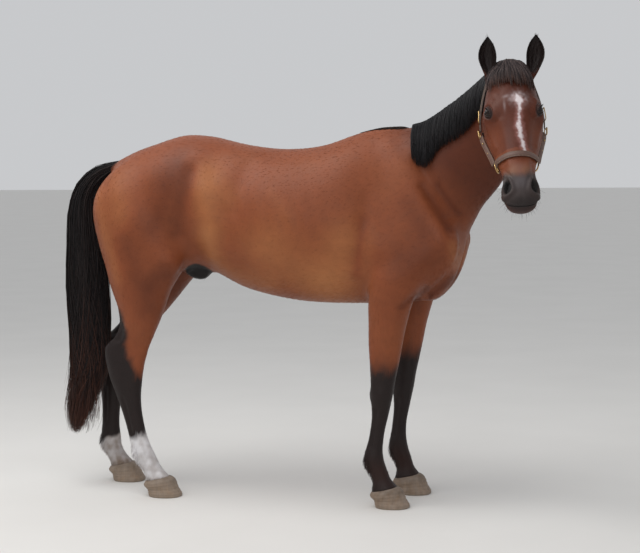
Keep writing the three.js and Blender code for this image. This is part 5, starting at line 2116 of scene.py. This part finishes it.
class HORSE_OT_forelock(bpy.types.Operator):
    """Forelock: a fringe from the poll between the ears, fanned over the forehead"""

    bl_idname = "horse.forelock"
    bl_label = "Forelock"

    def execute(self, context):
        draw = np.random.default_rng(SEED + 1)
        count, steps = 1500, 11
        q = 2 * draw.random(count) - 1
        t = np.linspace(0, 1, steps)
        start = -64 + 70 * draw.random(count)
        group, pulled = clump(q, draw, FORELOCK_CLUMPS, 0.65)
        end = (110 + 13 * q + 5 * draw.standard_normal(count)
               + 9 * draw.standard_normal(FORELOCK_CLUMPS)[group] - 56 * draw.random(count) ** 3)
        along = start[:, None] + (end - start)[:, None] * t
        own = q[:, None] * (1 - t) + pulled[:, None] * t
        across = -9 + own * (40 + 46 * ease(t, 0, 0.9))
        high = 8 + draw.random(count)[:, None] * 8 * ease(t, 0, 0.35) + 5 * np.sin(np.pi * t)
        paths = from_head(np.stack([along, across, 6 - 0.006 * across ** 2], -1))
        paths = OnSkin().lay(paths, high * (0.35 + 0.65 * ease(t, 0, 0.3)))
        for _ in range(2):
            paths[:, 1:-1] = (paths[:, :-2] + 2 * paths[:, 1:-1] + paths[:, 2:]) / 4
        hint = np.tile(HEAD_AXES[2], (count, steps, 1))
        width = tapered(steps, 1.1 + 0.9 * draw.random(count), 0.25)
        shades = hair_shades(draw, count, steps, sized((30, 26, 28)), sized((98, 84, 82)),
                             sized((96, 68, 58)), 0.75)
        uv = np.column_stack([0.5 + 0.47 * q, (start + 64) / 71])
        lock = hair_piece("forelock_locks", paths, width, width * 0.45, hint, shades, uv)
        settle(lock, "hair", "forelock")
        return {"FINISHED"}


class HORSE_OT_tail(bpy.types.Operator):
    """Tail: locks that leave the dock all round, fall close together and part towards the
    end, over a dark core"""

    bl_idname = "horse.tail"
    bl_label = "Tail"

    def execute(self, context):
        draw = np.random.default_rng(SEED + 2)
        for number, word in enumerate(("under", "over")):
            count, steps = context.scene.horse_sizes.tail_locks, 18
            t = np.linspace(0, 1, steps)
            first = 0.15 + 3.4 * draw.random(count) ** 0.8
            last = 8.0 + 3.0 * draw.random(count) ** (1.2 if number else 0.9)
            turn = 2 * np.pi * draw.random(count)
            group, _ = clump(np.zeros(count), draw, TAIL_CLUMPS, 0)
            theta = 2 * np.pi * draw.random(TAIL_CLUMPS)[group]
            apart = (theta - turn + np.pi) % (2 * np.pi) - np.pi
            place = first[:, None] + (last - first)[:, None] * t
            reach = np.sqrt(0.35 + 0.65 * draw.random(count)) if number else (
                0.45 + 0.5 * draw.random(count))
            root = 0.66 - 0.07 * first
            spread_out = ease(place, first[:, None], first[:, None] + 2.2)
            size = root[:, None] + (reach[:, None] - root[:, None]) * spread_out
            angle = turn[:, None] + apart[:, None] * 0.85 * ease(place, 4, 10)
            middle, deep, wide, across = tail_frames(place)
            loose = ease(place, 7.5, 10.5)
            size = size * (1 + 0.35 * loose * draw.standard_normal(count)[:, None])
            wave = 2 * np.pi * (t * 2.1 + draw.random((count, 1)))
            paths = middle + across * (deep * size * np.cos(angle))[..., None]
            paths[..., 1] += wide * size * np.sin(angle)
            stray = (draw.random(count) < 0.09) * (30 + 60 * draw.random(count))
            paths[..., 0] += 5 * np.sin(wave) * loose + 3 * np.sin(wave * 0.6) * spread_out
            paths[..., 0] += stray[:, None] * ease(place, 7.6, 11)
            paths[..., 1] += 5 * np.cos(wave * 0.8) * loose
            hint = unit(across * np.cos(angle)[..., None] + np.sin(angle)[..., None]
                        * np.array([0.0, 1.0, 0.0]))
            width = tapered(steps, 1.7 + 1.3 * draw.random(count), 0.22)
            shades = hair_shades(draw, count, steps, sized((15, 13, 15)), sized((38, 30, 29)),
                                 sized((92, 57, 45)), 0.66)
            uv = np.column_stack([turn / (2 * np.pi) * 0.99, (first - 0.15) / 3.5])
            piece = hair_piece(f"tail_{word}", paths, width, width * 0.45, hint, shades, uv)
            settle(piece, "hair", *(["tail"] if number else []))
        self.core()
        return {"FINISHED"}

    def core(self):
        """A dark closed body well inside the locks, so no light shows through them."""
        place = np.linspace(2.2, 8.6, 60)
        middle, deep, wide, across = tail_frames(place)
        narrow = 0.42 * ease(place, 2.0, 3.5) * ease(8.8 - place, 0, 2.0) + 0.05
        c, s = turns(40)
        streak = 1 + 0.07 * np.sin(11 * np.arctan2(s, c) + 0.4 * place[:, None])
        points = middle[:, None] + (deep * narrow)[:, None, None] * (c * streak)[..., None] * (
            across[:, None])
        points[..., 1] += (wide * narrow)[:, None] * s * streak
        body = closed_tube(points)
        core = add_body("tail_core", body)
        paint(core, "coat", np.tile(sized((20, 18, 20)), (len(body[0]), 1)))
        finish(core, hair_material)
        settle(core, "hair")


# ---------------------------------------------------------------- halter

STRAP_WIDE, STRAP_THICK = 24, 5
RING_RADIUS, WIRE_RADIUS = 19, 3
RING_AT = (406, -14)
CHEEK_TOP = (246, -24)
CHIN_AT = (398, -90)
THROAT_AT = (162, -90)
TRIM = RING_RADIUS + 2


def to_side(step, side):
    """A step on the left side of the head, or its mirror image on the right."""
    along, turn = step
    return along, turn if side == LEFT else 180 - turn


def mirrored(steps, side):
    return [to_side(step, side) for step in steps]


def under_jaw(steps):
    """Steps down the left side to the middle of the jaw, then up the right side."""
    back = mirrored(steps, RIGHT)[::-1][1:]
    return [*steps, *[(along, turn - 360) for along, turn in back]]


def strap_path(skin, steps, lift, trim, twist=0.0, count=70):
    """Points and outward ways of a strap laid on the skin, trimmed at both ends, and turned
    about its length towards the face."""
    found = [skin.at(along, turn, lift) for along, turn in curve(steps, count)]
    points = smoothed(np.array([f[0] for f in found]), 14)
    outs = unit(smoothed(np.array([f[1] for f in found]), 20))
    outs = unit(outs + twist * HEAD_AXES[2])
    reach = lengths_along(points)
    at = np.linspace(trim[0], reach[-1] - trim[1], count)
    points, outs = at_lengths(points, reach, at), at_lengths(outs, reach, at)
    ahead = unit(np.gradient(points, axis=0))
    outs = unit(outs - ahead * np.sum(outs * ahead, 1, keepdims=True))
    return points, outs, np.cross(ahead, outs)


# Across and out on a strap's section as shares of its half width and its thickness: flat
# below, rounded edges, a raised middle roll and a stitched channel on each side of it.
SECTION = np.array([
    (-0.94, 0.0), (-0.5, 0.0), (0.0, 0.0), (0.5, 0.0), (0.94, 0.0), (1.0, 0.3), (1.0, 0.62),
    (0.93, 0.84), (0.80, 0.86), (0.70, 0.72), (0.58, 0.86), (0.36, 1.02), (0.0, 1.08),
    (-0.36, 1.02), (-0.58, 0.86), (-0.70, 0.72), (-0.80, 0.86), (-0.93, 0.84), (-1.0, 0.62),
    (-1.0, 0.3),
])


def make_strap(context, skin, name, steps, node, wide=STRAP_WIDE, lift=4, trim=(0, 0),
               plain=False, twist=0.0, shade=1.0):
    """Carries the strap's section along its path and sews both its edges."""
    points, outs, across = strap_path(skin, steps, lift, trim, twist)
    section = SECTION * (wide / 2, STRAP_THICK)
    if plain:
        section = section * (1, 0.8)
    rings = points[:, None] + section[None, :, :1] * across[:, None]
    rings = rings + section[None, :, 1:] * outs[:, None]
    body = closed_tube(rings)
    strap = add_body(name, body)
    leather = np.array(context.scene.horse_colours.leather) * shade
    # Painted shade on the strap's underside and lower edges, and painted highlight along the top of
    # its middle roll.
    high = np.append(np.tile(SECTION[:, 1], len(points)), (0.5, 0.5))
    tint = mix(leather * 0.45, leather, ease(high, 0.1, 0.7))
    tint = mix(tint, leather * 1.6, ease(high, 0.98, 1.1) * 0.6)
    paint(strap, "coat", np.clip(tint, 0, 1))
    finish(strap, leather_material)
    add_modifier(strap, "round the edges", "SUBSURF", levels=1, render_levels=1)
    settle(strap, "halter_leather", *node)
    return stitches(points, outs, across, wide)


def stitches(points, outs, across, wide, pitch=5.0):
    """Short spindles of thread sunk in the channels, along both edges."""
    reach = lengths_along(points)
    at = np.arange(6, reach[-1] - 6, pitch)
    rows = at_lengths(np.column_stack([points, outs, across]), reach, at)
    p, out, side = rows[:, :3], unit(rows[:, 3:6]), unit(rows[:, 6:])
    way = np.cross(out, side)
    paths = []
    for edge in (-0.7, 0.7):
        middle = p + side * edge * wide / 2 + out * (STRAP_THICK * 0.76)
        t = np.array([-1.7, -0.8, 0.8, 1.7])
        sink = np.array([-0.7, 0.2, 0.2, -0.7])
        paths.append(middle[:, None] + way[:, None] * t[:, None] + out[:, None] * sink[:, None])
    return np.concatenate(paths), np.concatenate([out, out])


def round_wire(path, radius, closed=False, sides=14):
    """A round wire along a path, its ends joined if the path is closed."""
    if closed:
        ahead = unit(np.roll(path, -1, 0) - np.roll(path, 1, 0))
    else:
        ahead = unit(np.gradient(path, axis=0))
    middle = path.mean(0)
    side = unit(path - middle - ahead * np.sum((path - middle) * ahead, 1, keepdims=True))
    up = np.cross(ahead, side)
    c, s = turns(sides)
    rings = path[:, None] + radius * (
        c[:, None] * side[:, None] + s[:, None] * up[:, None])
    if not closed:
        return closed_tube(rings)
    n = len(path)
    i, j = np.meshgrid(np.arange(n), np.arange(sides), indexing="ij")
    a, b = i * sides + j, i * sides + (j + 1) % sides
    step = ((i + 1) % n) * sides
    quads = np.stack([a, b, step + (j + 1) % sides, step + j], -1).reshape(-1, 4)
    flat = rings.reshape(-1, 3)
    corners = flat[quads]
    face = np.cross(corners[:, 1] - corners[:, 0], corners[:, 3] - corners[:, 0])
    away = corners.mean(1) - np.repeat(path, sides, 0)
    if np.sum(face * away) < 0:
        quads = quads[:, ::-1]
    return flat, quads, np.zeros((0, 3), int)


def framed(points, middle, across, up, out):
    """Flat (across, up, out) places put on a middle and three ways."""
    points = np.asarray(points, float)
    return middle + points[:, :1] * across + points[:, 1:2] * up + points[:, 2:] * out


def box_loop(half_x, half_y, corner, steps=9):
    """A rectangle with rounded corners as a closed path in its own plane."""
    turn = np.linspace(0, np.pi / 2, steps)
    path = []
    for quarter, (x, y) in enumerate(((1, 1), (-1, 1), (-1, -1), (1, -1))):
        angle = turn + quarter * np.pi / 2
        path.append(np.stack([
            x * (half_x - corner) + corner * np.cos(angle),
            y * (half_y - corner) + corner * np.sin(angle), np.zeros(steps)], 1))
    return np.concatenate(path)


def brass(name, bodies, *nodes):
    piece = add_body(name, join_bodies(bodies))
    finish(piece, brass_material)
    return settle(piece, "halter_brass", *nodes)


class HORSE_OT_halter(bpy.types.Operator):
    """Leather halter: a stitched strap with a raised roll for each run, laid on the skin, with
    rings, buckles, keepers and studs of brass. No lead"""

    bl_idname = "horse.halter"
    bl_label = "Halter"

    def execute(self, context):
        skin = OnSkin()
        over_nose = [RING_AT, (408, 30), (412, 90), (408, 150), to_side(RING_AT, RIGHT)]
        left_crown = [CHEEK_TOP, (172, -14), (100, -8), (36, 0), (-8, 26), (-24, 58), (-28, 90)]
        crown = [*left_crown, *mirrored(left_crown, RIGHT)[::-1][1:]]
        jaw = [CHIN_AT, (300, -90), (230, -90), THROAT_AT]
        throat = under_jaw([CHEEK_TOP, (206, -44), (174, -70), THROAT_AT])
        chin = under_jaw([RING_AT, (402, -45), CHIN_AT])
        sewn = [
            make_strap(context, skin, "noseband", over_nose, ["halter_noseband"],
                       lift=6, trim=(TRIM, TRIM)),
            make_strap(context, skin, "crown_strap", crown, ["halter_crown"], lift=9,
                       trim=(18, 18), twist=0.4, shade=0.35),
            make_strap(context, skin, "jaw_strap", jaw, ["halter_jaw_strap"], 18, 6,
                       (TRIM + 10, 15), True),
            make_strap(context, skin, "throat_strap", throat, ["halter_throat_strap"], 18, 6,
                       (18, 18), True),
            make_strap(context, skin, "chin_strap", chin, ["halter_chin_strap"], 18, 9,
                       (TRIM, TRIM), True),
        ]
        for side, word in SIDES.items():
            cheek = mirrored([RING_AT, (330, -20), CHEEK_TOP], side)
            sewn.append(make_strap(context, skin, f"cheek_strap_{word}", cheek,
                                   [f"halter_cheek_{word}"], lift=11, trim=(TRIM, 0),
                                   twist=0.9))
            self.fittings(skin, side, word)
        self.ring(skin, "ring_chin", CHIN_AT, 18, "halter_ring_chin")
        paths = np.concatenate([one[0] for one in sewn])
        hint = np.repeat(np.concatenate([one[1] for one in sewn])[:, None], 4, axis=1)
        width = np.tile([0.35, 0.75, 0.75, 0.35], (len(paths), 1))
        body = locks(paths, width, width, hint, 5)
        thread = add_body("halter_thread", body)
        colour = np.array(context.scene.horse_colours.thread)
        paint(thread, "coat", np.tile(colour, (len(body[0]), 1)))
        finish(thread, thread_material)
        settle(thread, "halter_leather")
        return {"FINISHED"}

    def ring(self, skin, name, place, lift, node):
        point, out = skin.at(*place, lift)
        across = unit(np.cross(out, HEAD_ALONG))
        turn = 2 * np.pi * np.arange(56) / 56
        path = framed(
            np.stack([np.cos(turn), np.sin(turn), 0 * turn], 1) * RING_RADIUS,
            point, across, np.cross(out, across), out,
        )
        brass(name, [round_wire(path, WIRE_RADIUS, True)], node)

    def fittings(self, skin, side, word):
        """Ring at the noseband, buckle and long keeper above, and three studs."""
        self.ring(skin, f"ring_{word}", to_side(RING_AT, side), 10, f"halter_ring_{word}")
        along, turn = to_side(CHEEK_TOP, side)
        middle, out = skin.at(along - 8, turn, 18.3)
        above, _ = skin.at(along - 30, turn, 18.3)
        up = unit(above - middle)
        across = unit(np.cross(up, out))
        out = np.cross(across, up)
        frame_path = framed(box_loop(14, 15, 5), middle, across, up, out)
        tongue = framed([(0, -14, 0.5), (0, -6, 2.6), (0, 6, 2.6), (0, 15.5, 1.6)],
                        middle, across, up, out)
        bar = framed([(-14, -13, 0), (0, -13, 0), (14, -13, 0)], middle, across, up, out)
        parts = [round_wire(frame_path, 2.1, True), round_wire(curve(tongue, 14), 1.5),
                 round_wire(bar, 1.8)]
        brass(f"buckle_{word}", parts, f"halter_buckle_{word}")
        middle, out = skin.at(*to_side((172, -14), side), 15)
        across = unit(np.cross(HEAD_ALONG, out))
        up = np.cross(out, across)
        tall = [round_wire(framed(box_loop(13.5, 25, 5), middle, across, up, out), 2.0, True)]
        brass(f"keeper_{word}", tall)
        studs = []
        c, s = turns(20)
        r, h = np.array([[2.6, 2.1], [4.2, 0.6], [4.4, -2.5]]).T[:, :, None]
        for place in (330, 352, 282):
            spot, way = skin.at(*to_side((place, -20), side), 15)
            side_way = unit(np.cross(way, HEAD_ALONG))
            grid = (spot + (r * c)[..., None] * side_way
                    + (r * s)[..., None] * np.cross(way, side_way) + h[..., None] * way)
            studs.append(closed_tube(grid))
        brass(f"studs_{word}", studs)


class HORSE_OT_stage(bpy.types.Operator):
    """Pale floor, soft light from above and round about, and the camera"""

    bl_idname = "horse.stage"
    bl_label = "Stage"

    def execute(self, context):
        reach = 60.0
        corner = np.array([[-1, -1], [1, -1], [1, 1], [-1, 1]]) * reach
        points = np.column_stack([corner, np.full(4, -0.0005)])
        floor = add_mesh("floor", points, np.array([[0, 1, 2, 3]]), smooth=False)
        finish(floor, floor_material)

        world = bpy.data.worlds.new("soft daylight")
        world.use_nodes = True
        sky = world.node_tree.nodes["Background"]
        sky.inputs["Color"].default_value = (0.96, 0.975, 1.0, 1)
        sky.inputs["Strength"].default_value = 0.60
        context.scene.world = world
        context.scene.view_settings.view_transform = "Standard"
        self.lamp(context, "overhead", (-1.6, -1.2, 4.6), (0.0, 0.1, 0.9), 4.0, 135, (1, 0.98, 0.95))
        self.lamp(context, "front", (0.4, -6.0, 3.2), (0.2, 0.1, 0.9), 3.0, 45, (1, 0.97, 0.93))
        self.camera(context)
        return {"FINISHED"}

    def lamp(self, context, name, place, aim, size, power, colour):
        light = bpy.data.lights.new(name, "AREA")
        light.shape = "DISK"
        light.size = size
        light.energy = power
        light.color = colour
        made = bpy.data.objects.new(name, light)
        context.scene.collection.objects.link(made)
        made.location = place
        made.rotation_euler = (Vector(aim) - Vector(place)).to_track_quat("-Z", "Y").to_euler()

    def camera(self, context):
        """1.5 m up, off the right side and ahead of the withers, turned 15 degrees to the tail."""
        turn, fall, roll = math.radians(15), math.radians(4.46), math.radians(-0.57)
        ahead = Vector((-math.sin(turn) * math.cos(fall), math.cos(turn) * math.cos(fall),
                        -math.sin(fall)))
        right = Vector((math.cos(turn), math.sin(turn), 0))
        up = right.cross(ahead)
        level = right * math.cos(roll) + up * math.sin(roll)
        upright = up * math.cos(roll) - right * math.sin(roll)
        data = bpy.data.cameras.new("camera")
        data.lens, data.sensor_width = 87.96, 36.0
        data.clip_start, data.clip_end = 0.1, 100
        camera = bpy.data.objects.new("camera", data)
        context.scene.collection.objects.link(camera)
        place = Vector((1.482, -6.568, 1.5)) + Vector(ORIGIN)
        turned = Matrix((level, upright, -ahead)).transposed().to_4x4()
        camera.matrix_world = Matrix.Translation(place) @ turned
        context.scene.camera = camera


class HORSE_PT_panel(bpy.types.Panel):
    """Lists the pieces of the horse in the order they are made"""

    bl_idname = "HORSE_PT_panel"
    bl_label = "Horse"
    bl_space_type = "VIEW_3D"
    bl_region_type = "UI"
    bl_category = "Horse"

    def draw(self, context):
        for group in (context.scene.horse_sizes, context.scene.horse_colours):
            for name in group.bl_rna.properties.keys():
                if name not in ("rna_type", "name"):
                    self.layout.prop(group, name)
        for step in STEPS:
            self.layout.operator(step.bl_idname)


STEPS = (
    HORSE_OT_skin, HORSE_OT_coat, HORSE_OT_eyes, HORSE_OT_hooves, HORSE_OT_mane, HORSE_OT_forelock,
    HORSE_OT_tail, HORSE_OT_halter, HORSE_OT_stage,
)
CLASSES = (HorseSizes, HorseColours, *STEPS, HORSE_PT_panel)


def register():
    for one in CLASSES:
        bpy.utils.register_class(one)
    bpy.types.Scene.horse_sizes = PointerProperty(type=HorseSizes)
    bpy.types.Scene.horse_colours = PointerProperty(type=HorseColours)


def unregister():
    del bpy.types.Scene.horse_sizes
    del bpy.types.Scene.horse_colours
    for one in reversed(CLASSES):
        bpy.utils.unregister_class(one)


def main():
    register()
    for step in STEPS:
        group, name = step.bl_idname.split(".")
        getattr(getattr(bpy.ops, group), name)()


if __name__ == "__main__":
    main()
